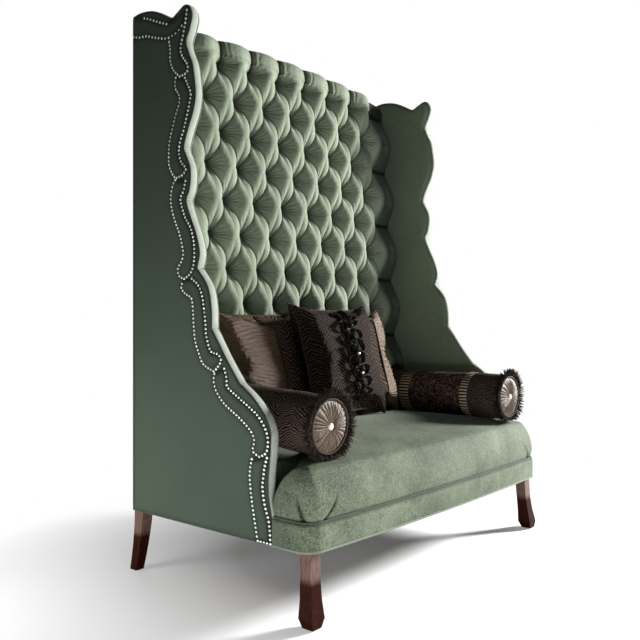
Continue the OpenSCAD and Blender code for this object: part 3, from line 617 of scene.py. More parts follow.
# %% Turned forms
def add_disc_form(name, radius, height, sides, steps):
    """Points and faces of a small dome at the origin, along +Z, drawn from a disc."""
    bpy.ops.object.select_all(action="DESELECT")
    bpy.ops.mesh.primitive_circle_add(vertices=sides, radius=radius, fill_type="NGON", location=(0, 0, 0))
    form = bpy.context.object
    form.name = name
    bpy.ops.object.mode_set(mode="EDIT")
    bpy.ops.mesh.select_all(action="SELECT")
    last = 1.0
    for share, rise in steps:
        bpy.ops.mesh.extrude_region_move(TRANSFORM_OT_translate={"value": (0, 0, rise * height)})
        bpy.ops.transform.resize(value=(share / last, share / last, 1), center_override=(0, 0, 0))
        last = share
    bpy.ops.mesh.poke()
    bpy.ops.mesh.select_all(action="SELECT")
    bpy.ops.mesh.normals_make_consistent(inside=False)
    bpy.ops.object.mode_set(mode="OBJECT")
    points = np.array([v.co for v in form.data.vertices])
    faces = [list(f.vertices) for f in form.data.polygons]
    bpy.data.objects.remove(form)
    return points, faces


def repeated(form, places, ways):
    """The form copied to each place, with its +Z turned to the way given there."""
    parts = []
    for place, way in zip(places, ways):
        z = unit(np.asarray(way, float))
        x = unit(np.cross([0.31, 0.17, 0.93] if abs(z[2]) < 0.9 else [1, 0.1, 0], z))
        parts.append((form[0] @ np.array([x, np.cross(z, x), z]) + place, form[1]))
    return merged(parts)


button_form = add_disc_form("button", 0.009, 0.006, 14, [(1.0, .35), (.86, .3), (.55, .25), (.2, .1)])
print("button form:", len(button_form[1]), "faces")

# %% [markdown]
# ## Covered buttons
# A button is a metal shell with a scrap of velvet pressed over it. It sits deep in its pit, so
# only its domed top shows. The rows are staggered: eight buttons in one, seven in the next.

# %% Buttons of the back
BUTTON_ROWS, BUTTON_OUT = 11, 0.0065
pits = [(k * PITCH + (row % 2 == 0) * PITCH / 2, row) for row in range(BUTTON_ROWS)
        for k in range(-4 + row % 2, 4)]
pit_z = [TUFT_TOP - row * RISE for _, row in pits]
seats = [(x, from_back(board_depth(z) + PIT + BUTTON_OUT), z) for (x, _), z in zip(pits, pit_z)]
facing = (0, -math.cos(math.radians(RAKE_DEGREES)), math.sin(math.radians(RAKE_DEGREES)))
points, faces = repeated(button_form, seats, [facing] * len(seats))
# the buttons take the darkened velvet, the painted shade of their pits
piece("covered_buttons", points, faces, velvet_pit_shaded, replaces=("back_buttons",))
print("buttons:", len(seats))

# %% [markdown]
# ## The form of the seat
# The seat is one thick pad, sprung and stuffed, with its velvet drawn tight over a crown. It is
# widest a little above the seam and rounds over at the front edge. Its plan is drawn in ring by
# ring, by the same shares as in the construction model but with many more rings.

# %% Rings of the seat
SEAT_H, SEAT_REAR, SEAT_STEP = 0.193, 0.152, 0.0042
SEAT_PROFILE = [(.2, 0, 0), (.05, 0, .09), (0, 0, .21), (.1, 0, .37), (.32, 0, .53), (.66, 0, .66),
                (.9, 0, .715), (.9, .07, .752), (.9, .16, .785), (.9, .3, .83), (.9, .48, .89),
                (.9, .68, .95), (.9, .86, .988), (.9, .975, 1)]


def inset_loop(loop, d):
    """A closed outline, counterclockwise, drawn in by d along its mitres."""
    before, after = unit(loop - np.roll(loop, 1, 0)), unit(np.roll(loop, -1, 0) - loop)
    n1, n2 = before[:, ::-1] * [-1, 1], after[:, ::-1] * [-1, 1]
    return loop + d * (n1 + n2) / (1 + (n1 * n2).sum(1, keepdims=True))


def split_loop(loop, counts):
    """Each edge of a closed outline cut into as many pieces as counts says."""
    after = np.roll(loop, -1, 0)
    return np.concatenate([a + (b - a) * np.arange(n)[:, None] / n for a, b, n in zip(loop, after, counts)])


seat_half, seat_y = INNER_HALF - 0.0003, STEP_Y - 0.002
seat_loop = np.concatenate([[[seat_half, from_back(SEAT_REAR)], [-seat_half, from_back(SEAT_REAR)],
                             [-seat_half, seat_y]], front_path(0.002, seat_y), [[seat_half, seat_y]]])
edge_long = np.linalg.norm(np.roll(seat_loop, -1, 0) - seat_loop, axis=1)
counts = np.maximum(np.round(edge_long / SEAT_STEP).astype(int), 1)
mid_y = from_back(SEAT_REAR) * 0.6 + FRONT_Y * 0.4
rings = []
for inset, share, h in spline(SEAT_PROFILE, 5):
    loop = split_loop(inset_loop(seat_loop, inset * CORNER_R), counts)
    middle = np.stack([np.clip(loop[:, 0], -seat_half / 3, seat_half / 3), np.full(len(loop), mid_y)], -1)
    rings.append(np.column_stack([loop + share * (middle - loop), np.full(len(loop), SEAM_Z + h * SEAT_H)]))
seat = np.array(rings)
print("seat:", seat.shape)

# %% [markdown]
# ## Darts, pressed pile and painted shade
# Two darts take up the spare cloth at each front corner: short seams that sink in, with shade
# painted along them. On top of the seat, patches are darker: pile pressed flat where people sit,
# and painted shade of the velvet's changing sheen. The foot of the seat, by its seam, has painted
# shade as well.

# %% Seat
DARTS = ((0.672, -0.352, -0.010), (0.618, -0.3885, 0.035))
DART_TOP, DART_WIDTH, DART_DEPTH, DART_LINE = 0.36, 0.0068, 0.011, 0.0046
run = run_along(seat[0][:, :2])
out_way = unit(seat - seat.mean((0, 1)))
height = (seat[:, :, 2] - SEAM_Z) / SEAT_H
soft = wander(seat, 14, 3) * 0.0016 + wander(seat, 45, 5) * 0.0005
seat = seat + out_way * (soft * np.clip(height * 4, 0, 1))[:, :, None]
# darker patches on the top: pressed pile and painted shade of the velvet's changing sheen
pressed_pile_and_shade = np.clip((height - 0.66) / 0.2, 0, 1) * (0.30 + 0.22 * wander(seat * [0.6, 1.6, 1], 9, 12))
# painted shade at the foot of the seat, half dark, along the seam
painted_shade = np.maximum(np.exp(-(height / 0.035) ** 2) * 0.5, pressed_pile_and_shade)
for side, (x, y, tilt) in [(side, dart) for side in (-1, 1) for dart in DARTS]:
    k = np.argmin(np.linalg.norm(seat[0][:, :2] - [side * x, y], axis=1))
    off = run[None, :] - run[k] + side * tilt * height / 0.22
    fade = np.clip(1 - height / DART_TOP, 0, 1) ** 0.6 * (height < DART_TOP)
    seat = seat - out_way * (np.exp(-(off / DART_WIDTH) ** 2) * fade * DART_DEPTH)[:, :, None]
    # painted shade along each dart
    painted_shade = np.maximum(painted_shade, np.exp(-(off / DART_LINE) ** 2) * np.clip(fade * 1.8, 0, 1))
seat_piece = piece("seat_velvet", seat, tube_faces(*seat.shape[:2]), velvet_seat,
                   replaces=("seat_cover",), painted_shade=np.clip(painted_shade, 0, 1))
print("seat darts:", 2 * len(DARTS))

# %% [markdown]
# ## Apron, piping and welt
# Under the seat a padded band hides the rail. A thin piping closes the seam with the seat, and
# a fatter welt finishes the lower edge. Both are cords covered in velvet, so both are drawn as
# round cords along the plan of the front. Shade is painted on the band where it meets each cord.

# %% Apron
PIPING_R, WELT_R = 0.0026, 0.0038
APRON_BAND = [(.013, .2), (.004, .2), (.0012, .2008), (0, .203), (-.0006, .212), (-.0012, .226),
              (-.0014, .240), (-.001, .256), (-.0003, .268), (.0006, .2738), (.0026, .2766), (.006, .277),
              (.013, .277)]


def front_line_at(inset, z):
    """The plan of the front, drawn in by inset, at a height."""
    plan = front_path(inset, STEP_Y)
    return np.column_stack([plan, np.full(len(plan), z)])


apron = np.swapaxes(np.array([front_line_at(inset, z) for inset, z in APRON_BAND]), 0, 1)
# painted shade on the band: under the welt at its foot and under the piping at its top
mark = np.zeros(apron.shape[:2])
mark[:, 2:4] = 0.35
mark[:, 9:12] = 0.5
apron_piece = piece("apron_velvet", apron, turned(tube_faces(*apron.shape[:2])), velvet_seat,
                    replaces=("apron",), painted_shade=mark)
points, faces = cord_mesh(front_line_at(0.006, SEAM_Z + 0.0026), PIPING_R)
piece("seam_piping", points, faces, velvet_shade, replaces=("seat_piping",))
points, faces = cord_mesh(front_line_at(0.0012, UNDER_H + 0.0042), WELT_R)
piece("apron_welt", points, faces, velvet_plain)
print("apron:", apron.shape)

# %% [markdown]
# ## Rows of nails
# The outer face of each wing is velvet over plywood, with a padded border that is drawn by two
# rows of nails. The border swells between its rows, like a string of petals down the edge. Each
# row is a smooth curve through measured points, as depth along Y and height.

# %% Nail rows and petals
FRONT_ROWS = [
    [(.105, 1.745), (.114, 1.704), (.124, 1.673), (.135, 1.635), (.124, 1.608), (.103, 1.581),
     (.105, 1.559), (.138, 1.553)],
    [(.114, 1.543), (.089, 1.496), (.093, 1.464), (.117, 1.396), (.138, 1.351), (.142, 1.321),
     (.131, 1.291), (.11, 1.27), (.124, 1.254), (.152, 1.247)],
    [(.112, 1.233), (.121, 1.204), (.135, 1.179), (.114, 1.125), (.089, 1.092), (.075, 1.053),
     (.071, 1.014), (.075, .978), (.091, .953), (.117, .939)],
    [(.082, .938), (.055, .919), (.037, .889), (.028, .85), (.021, .8), (.017, .767), (-.001, .725),
     (-.033, .715), (-.046, .699), (-.033, .679), (-.014, .666)],
    [(-.06, .675), (-.069, .648), (-.073, .624), (-.112, .6), (-.162, .572), (-.199, .548), (-.226, .513),
     (-.234, .48), (-.226, .452), (-.201, .439)],
    [(-.23, .439), (-.22, .409), (-.217, .388), (-.213, .357), (-.221, .31), (-.237, .266), (-.243, .207)]]
REAR_ROWS = [
    [(.188, 1.669), (.183, 1.64), (.183, 1.611), (.168, 1.579), (.138, 1.553)],
    [(.157, 1.552), (.159, 1.523), (.14, 1.495), (.14, 1.471), (.159, 1.433), (.173, 1.398),
     (.185, 1.364), (.19, 1.331), (.188, 1.288), (.166, 1.254), (.152, 1.247)],
    [(.159, 1.241), (.173, 1.223), (.181, 1.189), (.176, 1.155), (.159, 1.113), (.142, 1.082),
     (.126, 1.036), (.124, 1.003), (.147, .971), (.14, .948), (.117, .939)],
    [(.121, .934), (.131, .913), (.112, .894), (.084, .879), (.077, .844), (.073, .798), (.066, .752),
     (.05, .717), (.03, .685), (-.014, .666)],
    [(-.018, .658), (-.016, .634), (-.029, .606), (-.062, .574), (-.12, .541), (-.164, .51),
     (-.182, .483), (-.176, .452), (-.201, .439)],
    [(-.172, .429), (-.164, .384), (-.172, .316), (-.184, .257), (-.195, .207)]]
BAND_ROW = [(.37, 1.728), (.337, 1.719), (.305, 1.716), (.275, 1.705), (.244, 1.695), (.215, 1.686),
            (.19, 1.683), (.161, 1.686), (.138, 1.695), (.128, 1.703)]
SHORT_ROW = [(.313, 1.774), (.285, 1.763), (.244, 1.745), (.202, 1.727)]
FOOT_ROW = [(-.195, .207), (-.243, .207)]
petals = [np.concatenate([spline(f, 4), spline(r, 4)[::-1]]) for f, r in zip(FRONT_ROWS, REAR_ROWS)]
petals[0] = np.concatenate([petals[0], [(.19, 1.683), (.161, 1.686), (.128, 1.703)]])
petals.append(np.concatenate([spline(BAND_ROW, 4), [(.105, 1.745), (.15, 1.728)], spline(SHORT_ROW, 4)[::-1],
                              [(.35, 1.782), (.370, 1.784)]]))
print("petals on each wing:", len(petals))

# %% [markdown]
# ## Filling an outline
# A wing's cover and its pad fill one outline of four edges. A net is drawn between the edges,
# each point mixed from the four, so that its lines follow the scallops. How far a point lies
# from a line, and whether it is inside a petal, then tells how high it is padded.

# %% Outlines and nets
def distance(points, path):
    """Distance of each point from a closed path of straight pieces."""
    path = np.concatenate([path, path[:1]])
    best = np.full(len(points), 1e9)
    for a, b in zip(path[:-1], path[1:]):
        ab = b - a
        t = np.clip(((points - a) @ ab) / max(ab @ ab, 1e-12), 0, 1)
        best = np.minimum(best, ((points - a - t[:, None] * ab) ** 2).sum(1))
    return np.sqrt(best)


def inside(points, loop):
    """Whether each point lies in a closed outline."""
    hit = np.zeros(len(points), bool)
    for (x0, y0), (x1, y1) in zip(loop, np.roll(loop, -1, 0)):
        cross = (y0 > points[:, 1]) != (y1 > points[:, 1])
        hit ^= cross & (points[:, 0] < (x1 - x0) * (points[:, 1] - y0) / (y1 - y0 + 1e-12) + x0)
    return hit


def along_path(path, share):
    """Points at shares of a path's length."""
    run = run_along(path)
    return np.stack([np.interp(share, run / run[-1], path[:, c]) for c in (0, 1)], -1)


def filled(front, top, rear, foot, shares):
    """A net of points that fills the room between four edges: rows up, columns from rear to front."""
    run = run_along(front)
    h = (run / run[-1])[:, None, None]
    e = shares[None, :, None]
    f, r = front[:, None], along_path(rear, h[:, 0, 0])[:, None]
    t, b = along_path(top, shares)[None], along_path(foot, shares)[None]
    corners = (1 - h) * ((1 - e) * rear[0] + e * front[0]) + h * ((1 - e) * rear[-1] + e * front[-1])
    return (1 - e) * r + e * f + (1 - h) * b + h * t - corners


print("outlines can be filled")

# %% [markdown]
# ## The face of a wing
# The net is raised inside each petal and pressed in along the rows, where the nails pull the
# cloth down. It rolls over at the outline. Shade is painted into it along the rows and at the
# outline, and each petal is a touch darker.

# %% Relief of a wing
PETAL_HIGH, PETAL_RAMP, DENT, EDGE_ROLL = 0.0042, 0.013, 0.0012, 0.0036
rear_y = BACK_Y - COVER_T
foot_corner = np.array([rear_y - WING_D, UNDER_H])
front_line = evenly(np.concatenate([[foot_corner], wing_edge[: top_corner + 1]]), 0.0052)
top_line = wing_edge[top_corner:][::-1]
rear_line = np.array([[rear_y, UNDER_H], wing_edge[-1]])
foot_line = np.array([rear_line[0], foot_corner])
face_net = filled(front_line, top_line, rear_line, foot_line, 1 - (1 - np.linspace(0, 1, 104)) ** 1.35)
wing_flat = face_net.reshape(-1, 2)
to_edge = distance(wing_flat, np.concatenate([front_line, wing_edge[top_corner:], rear_line[::-1]]))
raised, dent, shade = np.zeros((3, len(wing_flat)))
for petal in petals:
    far_in = distance(wing_flat, petal)
    t = np.clip(far_in / PETAL_RAMP, 0, 1)
    raised = np.maximum(raised, np.where(inside(wing_flat, petal), PETAL_HIGH * np.sqrt(1 - (1 - t) ** 2), 0))
    dent = np.maximum(dent, np.exp(-(far_in / 0.0066) ** 2))
    shade = np.maximum(shade, np.exp(-(far_in / 0.010) ** 2))
edge_t = np.clip(to_edge / 0.006, 0, 1)
wing_lift = raised - DENT * dent - EDGE_ROLL * (1 - np.sqrt(1 - (1 - edge_t) ** 2))
wing_lift = wing_lift + 0.0012 * flat_wander(wing_flat, 9, 8) * np.clip(to_edge / 0.08, 0, 1)
# painted shade along the nail rows and at the outline; inside each petal the mark is a tenth
wing_painted_shade = np.clip(shade * 0.75 + 0.10 * (raised > 0.001) + 0.5 * np.exp(-(to_edge / 0.010) ** 2), 0, 1)
print("wing face:", face_net.shape)

# %% [markdown]
# ## The covers of the wings
# The face is closed by walls that go back to the plywood and a flat side against it. One wing is
# the mirror of the other. A mirror turns each face inside out, so there they are turned back.

# %% Wing covers
def closed_panel(front, behind, rows, cols, rim):
    """The faces of a panel: its net, walls round its rim, and a flat side behind."""
    n, size = len(front), len(rim)
    walls = [[n + i, n + (i + 1) % size, rim[(i + 1) % size], rim[i]] for i in range(size)]
    faces = net(rows, cols).tolist() + walls + [[n + i for i in range(size)][::-1]]
    return np.concatenate([front, behind]), faces


rows, cols = face_net.shape[:2]
rim = rim_of(rows, cols)
for side, hand in HANDS:
    face = np.column_stack([side * (HALF_W + wing_lift), wing_flat])
    inner = np.column_stack([np.full(len(rim), side * (HALF_W - COVER_T)), wing_flat[rim]])
    points, faces = closed_panel(face, inner, rows, cols, rim)
    # painted shade: the wings' outsides take the darker copy of the velvet
    cover = piece(f"{hand}_wing_velvet", points, turned(faces) if side > 0 else faces, velvet_shade,
                  replaces=(f"{hand}_wing_cover",),
                  painted_shade=np.concatenate([wing_painted_shade, np.zeros(len(rim))]))
print("wing cover:", len(faces), "faces")

# %% [markdown]
# ## Nails and the tape below them
# Upholsterers hold such a border with domed nails, set side by side through a narrow tape. One
# nail is turned and copied to even steps along every row. Where two rows meet, a nail too close
# to its neighbour is left out. Metal with a slightly tarnished plating shows a bright dome. The
# foot of each nail is painted near black, grime and painted shade where it presses into the
# cloth, and the tape is the darkened velvet of the buttons, a painted shade along each row.

# %% Nails
NAIL_R, NAIL_H, NAIL_STEP, BAND_STEP, SHORT_STEP, NAIL_GAP = 0.0046, 0.0036, 0.0122, 0.0165, 0.0180, 0.0085
TAPE_R, TAPE_FLAT = 0.0034, 0.35
silver = Finish("nickel_nail")
tarnish = silver.noise(silver.place(), 60.0, 3.0, 0.6)
bright = silver.ramp(tarnish, (0.3, srgb(176, 180, 174)), (0.7, srgb(232, 235, 230)))
# the foot of each nail is painted near black: grime, and painted shade where it presses into the cloth
silver.set(Base_Color=silver.mix(silver.mark("painted_shade"), bright, srgb(26, 28, 26)), Metallic=1.0,
           Roughness=0.22 + tarnish * 0.16)
nail_form = add_disc_form("nail", NAIL_R, NAIL_H, 9, [(.90, .35), (.66, .35), (.32, .22)])
# the lowest ring of each nail, which takes the grime and the painted shade
foot_grime_and_shade = nail_form[0][:, 2] < 0.0003
nail_paths = [evenly(spline(row, 8), NAIL_STEP) for row in FRONT_ROWS + REAR_ROWS]
nail_paths += [evenly(spline(BAND_ROW, 8), BAND_STEP), evenly(spline(SHORT_ROW, 8), SHORT_STEP)]
nail_paths.append(evenly(np.array(FOOT_ROW), NAIL_STEP))
nail_places = np.concatenate(nail_paths)
near = np.linalg.norm(nail_places[:, None] - nail_places[None], axis=2) + np.eye(len(nail_places))
nail_places = nail_places[[i for i in range(len(nail_places)) if not (near[i, :i] < NAIL_GAP).any()]]
for side, hand in HANDS:
    places = np.column_stack([np.full(len(nail_places), side * (HALF_W - 0.0002)), nail_places])
    points, faces = repeated(nail_form, places, [(side, 0, 0)] * len(places))
    piece(f"{hand}_wing_nails", points, faces, silver.material, painted_shade=np.tile(foot_grime_and_shade, len(places)))
    tapes = []
    for line in [evenly(path, 0.006) for path in nail_paths]:
        tape, tape_faces = cord_mesh(np.column_stack([np.zeros(len(line)), line]), TAPE_R, 6)
        tapes.append((tape * [TAPE_FLAT, 1, 1] + [side * (HALF_W + 0.0004), 0, 0], tape_faces))
    points, faces = merged(tapes)
    # the tape is drawn in the darkened button velvet, a painted shade along each row
    piece(f"{hand}_wing_gimp", points, faces, velvet_pit_shaded)
print("nails in each wing:", len(nail_places))

# %% [markdown]
# ## The wings' edges
# A strip of velvet runs along the edge of each wing. It faces the lamp, and its velvet is a
# paler copy of the sage, a painted highlight. Its section is carried along the outline, and at
# each notch, where the cloth is short, it creases a little. Shade is painted on its two sides,
# where it turns under, and in its creases.

# %% Edge bands
EDGE_CREASE, CREASE_REACH, CREASE_PITCH = 0.0007, 0.012, 0.009
NOTCHES = [(.794, .272), (.604, .369), (.5, .481), (.421, .609), (.403, .713), (.419, .909), (.307, .966)]
inner_x, outer_x = HALF_W - 0.030, HALF_W - 0.0015
strip = np.array([(outer_x, -.006), (outer_x + .0006, -.0025), (outer_x - .0008, -.0006),
                  (outer_x - .004, .0006), (outer_x - .010, .0013), (outer_x - .017, .0012),
                  (inner_x + .004, .0004), (inner_x + .0012, -.001), (inner_x, -.0035), (inner_x, -.007)])
edge_line = evenly(wing_edge, 0.004)
way = unit(np.gradient(edge_line, axis=0))
out = np.stack([-way[:, 1], way[:, 0]], -1)
out = out * np.sign(-out[10, 0])
notches = [wing_points([s])[0] for s in NOTCHES]
to_notch = np.min([np.linalg.norm(edge_line - n, axis=1) for n in notches], axis=0)
crease = np.exp(-(to_notch / CREASE_REACH) ** 2) * (0.5 + 0.5 * np.cos(to_notch * 2 * math.pi / CREASE_PITCH))
uneven = flat_wander(edge_line, 60, 4) * 0.0004 - EDGE_CREASE * crease
proud = strip[:, 1] + uneven[:, None] * (strip[:, 1] > 0)
section = edge_line[:, None] + out[:, None] * proud[:, :, None]
# painted shade on the band's two sides, where it turns under, and in its creases at the notches
strip_painted_shade = np.maximum([.8, .7, .25, 0, 0, 0, 0, .3, .7, .8], 0.45 * crease[:, None])
for side, hand in HANDS:
    x = np.broadcast_to(side * strip[:, 0], proud.shape)[:, :, None]
    faces = turned(tube_faces(*proud.shape)) if side > 0 else tube_faces(*proud.shape)
    band_piece = piece(f"{hand}_edge_velvet", np.concatenate([x, section], -1), faces, velvet_band_lit,
                       replaces=(f"{hand}_edge_band",), painted_shade=strip_painted_shade)
print("edge band:", len(edge_line), "steps")

# %% [markdown]
# ## The pads inside the wings
# A thin layer of wadding under velvet lines each wing inside. It is filled in from the same
# outline, so it ends under the edge band, and it grows thicker away from its edge. At each
# notch the cloth is drawn up in small rays. Shade is painted at its edge, under the band, and
# in the troughs between the rays.

# %% Inner pads
PAD_T, PAD_ROLL, RAYS, RAY_HIGH = 0.0215, 0.022, 13, 0.0016
pad_front = evenly(wing_edge[: top_corner + 1], 0.006)
pad_rear = np.array([[rear_y, SEAM_Z], wing_edge[-1]])
pad_foot = np.array([pad_rear[0], pad_front[0]])
pad_net = filled(pad_front, top_line, pad_rear, pad_foot, 1 - (1 - np.linspace(0, 1, 72)) ** 1.3)
pad_flat = pad_net.reshape(-1, 2)
to_edge = distance(pad_flat, np.concatenate([pad_front, wing_edge[top_corner:], pad_rear[::-1]]))
gather = np.zeros(len(pad_flat))
for k, notch in enumerate(notches):
    off = pad_flat - notch
    reach = np.linalg.norm(off, axis=1)
    ray = np.sin(np.arctan2(off[:, 1], off[:, 0]) * RAYS + k)
    gather += ray * np.exp(-reach / 0.045) * np.clip(reach / 0.02, 0, 1)
t = np.clip(to_edge / PAD_ROLL, 0, 1)
depth = PAD_T * (1 - (1 - t) ** 2.4) ** 0.5 - 0.002 * (1 - np.clip(to_edge / 0.10, 0, 1)) ** 2
depth = depth + RAY_HIGH * gather + 0.0012 * flat_wander(pad_flat, 11, 2) * t
# painted shade at the edge under the band and in the troughs of the rays
pad_painted_shade = np.clip(0.75 * np.exp(-(to_edge / 0.006) ** 2) + 0.22 * np.clip(-gather, 0, 1), 0, 1)
faces = net(*pad_net.shape[:2]).tolist() + [rim_of(*pad_net.shape[:2])[::-1]]
for side, hand in HANDS:
    face = np.column_stack([side * (PANEL_IN + 0.0028 - depth), pad_flat])
    pad = piece(f"{hand}_wing_pad_velvet", face, faces if side > 0 else turned(faces), velvet_plain,
                replaces=(f"{hand}_wing_pad",), painted_shade=pad_painted_shade)
print("wing pad:", pad_net.shape)

# %% [markdown]
# ## The outside back
# Behind, one panel of velvet is drawn flat over the frame, with a cord sewn round it. It is a
# flat net of points whose edges roll over, closed by a second face against the frame. Along
# its rim, where it rolls over, shade is painted into it.

# %% Outside back
BACK_ROLL, BACK_ROLL_WIDTH, BACK_CORD_R = 0.0035, 0.012, 0.0024
foot, wing_top = UNDER_H + 0.001, wing_edge[-1, 1] - 0.001
xs_back = np.linspace(-HALF_W + 0.001, HALF_W - 0.001, 121)
tops = np.where(np.abs(xs_back) < INNER_HALF, back_top(xs_back) - ROLL_T - 0.001, wing_top)
tops = np.convolve(np.pad(tops, 2, mode="edge"), np.ones(5) / 5, "valid")
zs = foot + np.linspace(0, 1, 90)[:, None] * (tops[None] - foot)
edge = np.minimum(np.minimum(HALF_W - np.abs(xs_back)[None], zs - UNDER_H), tops[None] - zs)
puffed = BACK_ROLL * np.sqrt(1 - (1 - np.clip(edge / BACK_ROLL_WIDTH, 0, 1)) ** 2) - BACK_ROLL
plane = np.stack([np.broadcast_to(xs_back, zs.shape), zs * 0, zs], -1)
plane[..., 1] = BACK_Y + puffed + 0.0008 * wander(plane, 7, 11) * np.clip(edge / 0.1, 0, 1)
rim = np.roll(rim_of(*zs.shape), zs.shape[1] - 1)
face = plane.reshape(-1, 3)
points, faces = closed_panel(face, face[rim] * [1, 0, 1] + [0, rear_y, 0], *zs.shape, rim)
# painted shade along the rim, where the panel rolls over
back_cover = piece("outside_back_velvet", points, turned(faces), velvet_shade,
                   replaces=("outside_back",),
                   painted_shade=np.concatenate([np.exp(-(edge.ravel() / 0.003) ** 2) * 0.6, np.zeros(len(rim))]))
border = evenly(face[rim][:, [0, 2]], 0.008)
cord_z = UNDER_H + (border[:, 1] - UNDER_H) * 0.996 + 0.003
cord_path = np.column_stack([border[:, 0] * 0.994, np.full(len(border), BACK_Y - 0.0002), cord_z])
points, faces = cord_mesh(cord_path, BACK_CORD_R, 6)
piece("outside_back_cord", points, faces, velvet_shade)
print("outside back:", zs.shape)

# %% [markdown]
# ## The cloth below
# A black cloth is stapled to the rails and keeps dust in. It is a single thin layer, so it is
# drawn as a sheet with a hole at each leg, and it hangs lowest in the middle.

# %% Dust cloth
THREADS, SAG = 3900, 0.0045
black = Finish("black_cambric")
weave_x, weave_y, _ = black.apart(black.place())
threads = (weave_x * THREADS).math("SINE") * (weave_y * THREADS).math("SINE")
black.set(Base_Color=black.ramp(threads * 0.5 + 0.5, (0.0, srgb(16, 16, 17)), (1.0, srgb(40, 40, 42))),
          Roughness=0.95, Normal=black.bump(threads, 0.0003, 0.6))
gx, gy = np.meshgrid(np.linspace(-0.640, 0.640, 97), np.linspace(-0.362, 0.352, 55), indexing="ij")
sag = SAG * np.clip(1 - (gx / 0.64) ** 2, 0, 1) * np.clip(1 - (gy / 0.36) ** 2, 0, 1)
gz = 0.1992 - sag + 0.0006 * wander(np.stack([gx, gy, gx * 0], -1), 40, 1)
sheet_points = np.stack([gx, gy, gz], -1)
faces = net(*gx.shape)
centre = np.abs(sheet_points.reshape(-1, 3)[faces].mean(1))
at_leg = (np.abs(centre[:, 0] - 0.641) < 0.032) & (np.abs(centre[:, 1] - 0.352) < 0.036)
cloth = piece("dust_cloth_sheet", sheet_points, faces[~at_leg][:, ::-1], black.material,
              replaces=("dust_cover",))
print("dust cloth:", gx.shape)

# %% [markdown]
# ## Cut velvet
# The loose cushions are covered in a brown velvet whose pile is cut in thin wavy stripes, like
# a zebra's, that meet in a chevron. The stripes need a direction, so they read the cloth
# coordinates of each piece, in metres: v counts the stripes, and u makes them climb. The pale
# stripes lie low on the cushions, and on the bolsters, where the pile is brushed up, high.

# %% Cut velvet
def cut_velvet(name, pitch, centre, slope, dark, light, lift=1.0):
    cloth = Finish(name)
    place = cloth.cloth_place()
    u, v, _ = cloth.apart(place)
    drift = cloth.noise(place, 26.0, 2.0)
    small = cloth.noise(place, 90.0, 2.0)
    climb = (u - centre).math("PINGPONG", 0.052) * slope
    wave = ((v + climb + drift * 0.030 + small * 0.006) / pitch * (2 * math.pi)).math("SINE")
    thin = cloth.noise(cloth.stretched(place, 1, 3, 1), 55.0, 1.0)
    line = ((wave - 0.66 + thin * 0.55) * 3.6).held()
    fuzz = cloth.noise(place, 1300.0, 1.0)
    base = cloth.ramp(fuzz, (0.3, share_of(dark, 0.75)), (0.7, share_of(dark, 1.25)))
    top = cloth.ramp(fuzz, (0.3, share_of(light, 0.8)), (0.7, light))
    cloth.set(Base_Color=cloth.mix(line, base, top), Roughness=0.75 + line * 0.15,
              Normal=cloth.bump((fuzz * 0.25 - line) * lift, 0.0016, 0.9), Sheen_Weight=0.02,
              Sheen_Roughness=0.35, Sheen_Tint=(0.75, 0.62, 0.52), Specular_IOR_Level=0.03)
    return cloth.material


cocoa = cut_velvet("cocoa_cut_velvet", 0.0125, 0.02, 0.6, srgb(27, 20, 17), srgb(100, 83, 71))
cocoa_middle = cut_velvet("cocoa_cut_velvet_chevron", 0.0118, -0.085, 0.8, srgb(20, 15, 13), srgb(72, 60, 52))
cocoa_roll = cut_velvet("cocoa_cut_velvet_roll", 0.0085, 0.02, 0.6, srgb(31, 24, 21), srgb(112, 96, 86),
                        -1.0)
print("cut velvets:", [m.name for m in bpy.data.materials if "cut" in m.name])

# %% [markdown]
# ## Satin and ribbon
# The satins are smooth and drawn up in small gathers. Their folds are noise that is stretched
# along the cloth, with a fine thread across. The same noise paints the colour pale where it is
# high and dark where it is low, painted light and shade of the gathers. Where a fold is a real
# one in the mesh, its mark paints shade into the satin as well, and the pale streaks between the
# folds lie a little lower.

# %% Satins
def satin(name, light, dark, across=300.0, rough=0.42, painted_shade=False, shine=0.10):
    cloth = Finish(name)
    place = cloth.cloth_place()
    folds = cloth.noise(cloth.stretched(place, 1, 7, 1), across / 7, 4.0, 0.65, 0.4)
    thread = cloth.noise(cloth.stretched(place, 8, 1, 1), 700.0, 1.0)
    # painted light and shade of the gathers: pale where the fold noise is high, dark where it is low
    colour = cloth.ramp(folds * 0.8 + thread * 0.2, (0.32, dark), (0.66, light))
    # painted shade in the real folds of the mesh
    if painted_shade:
        colour = cloth.mix(cloth.mark("painted_shade"), colour, share_of(dark, 0.12))
    relief = cloth.bump(1 - folds if painted_shade else folds, 0.0040, 0.8)
    cloth.set(Base_Color=colour, Roughness=rough + folds * 0.12, Normal=relief, Specular_IOR_Level=shine)
    return cloth.material


tan_satin = satin("tan_satin", srgb(92, 73, 57), srgb(34, 25, 19))
disc_satin = satin("tan_satin_disc", srgb(116, 98, 81), srgb(42, 33, 26), 200.0, painted_shade=True, shine=0.2)
ribbon_satin = satin("dark_ribbon", srgb(34, 30, 27), srgb(9, 8, 7), 200.0, 0.40, shine=0.06)
cord_satin = satin("brown_cord", srgb(72, 56, 45), srgb(24, 18, 15), 900.0, 0.6)
pale_ruche = satin("tan_satin_flange", srgb(130, 110, 90), srgb(20, 15, 11), 420.0)
pale_satin = satin("pale_button_satin", srgb(226, 210, 192), srgb(196, 176, 156))
print("satins ready")

# %% [markdown]
# ## Scatter cushions
# A cushion is two squares of cloth, sewn at the rim and filled. So it is made like one: two
# flat sheets that share their rim are blown up by the pressure of a cloth simulation, which
# draws the sides in and ruffles the seam as filling does. It is done once. Each cushion then
# takes its own copy, with its gathers, cords and trimmings.

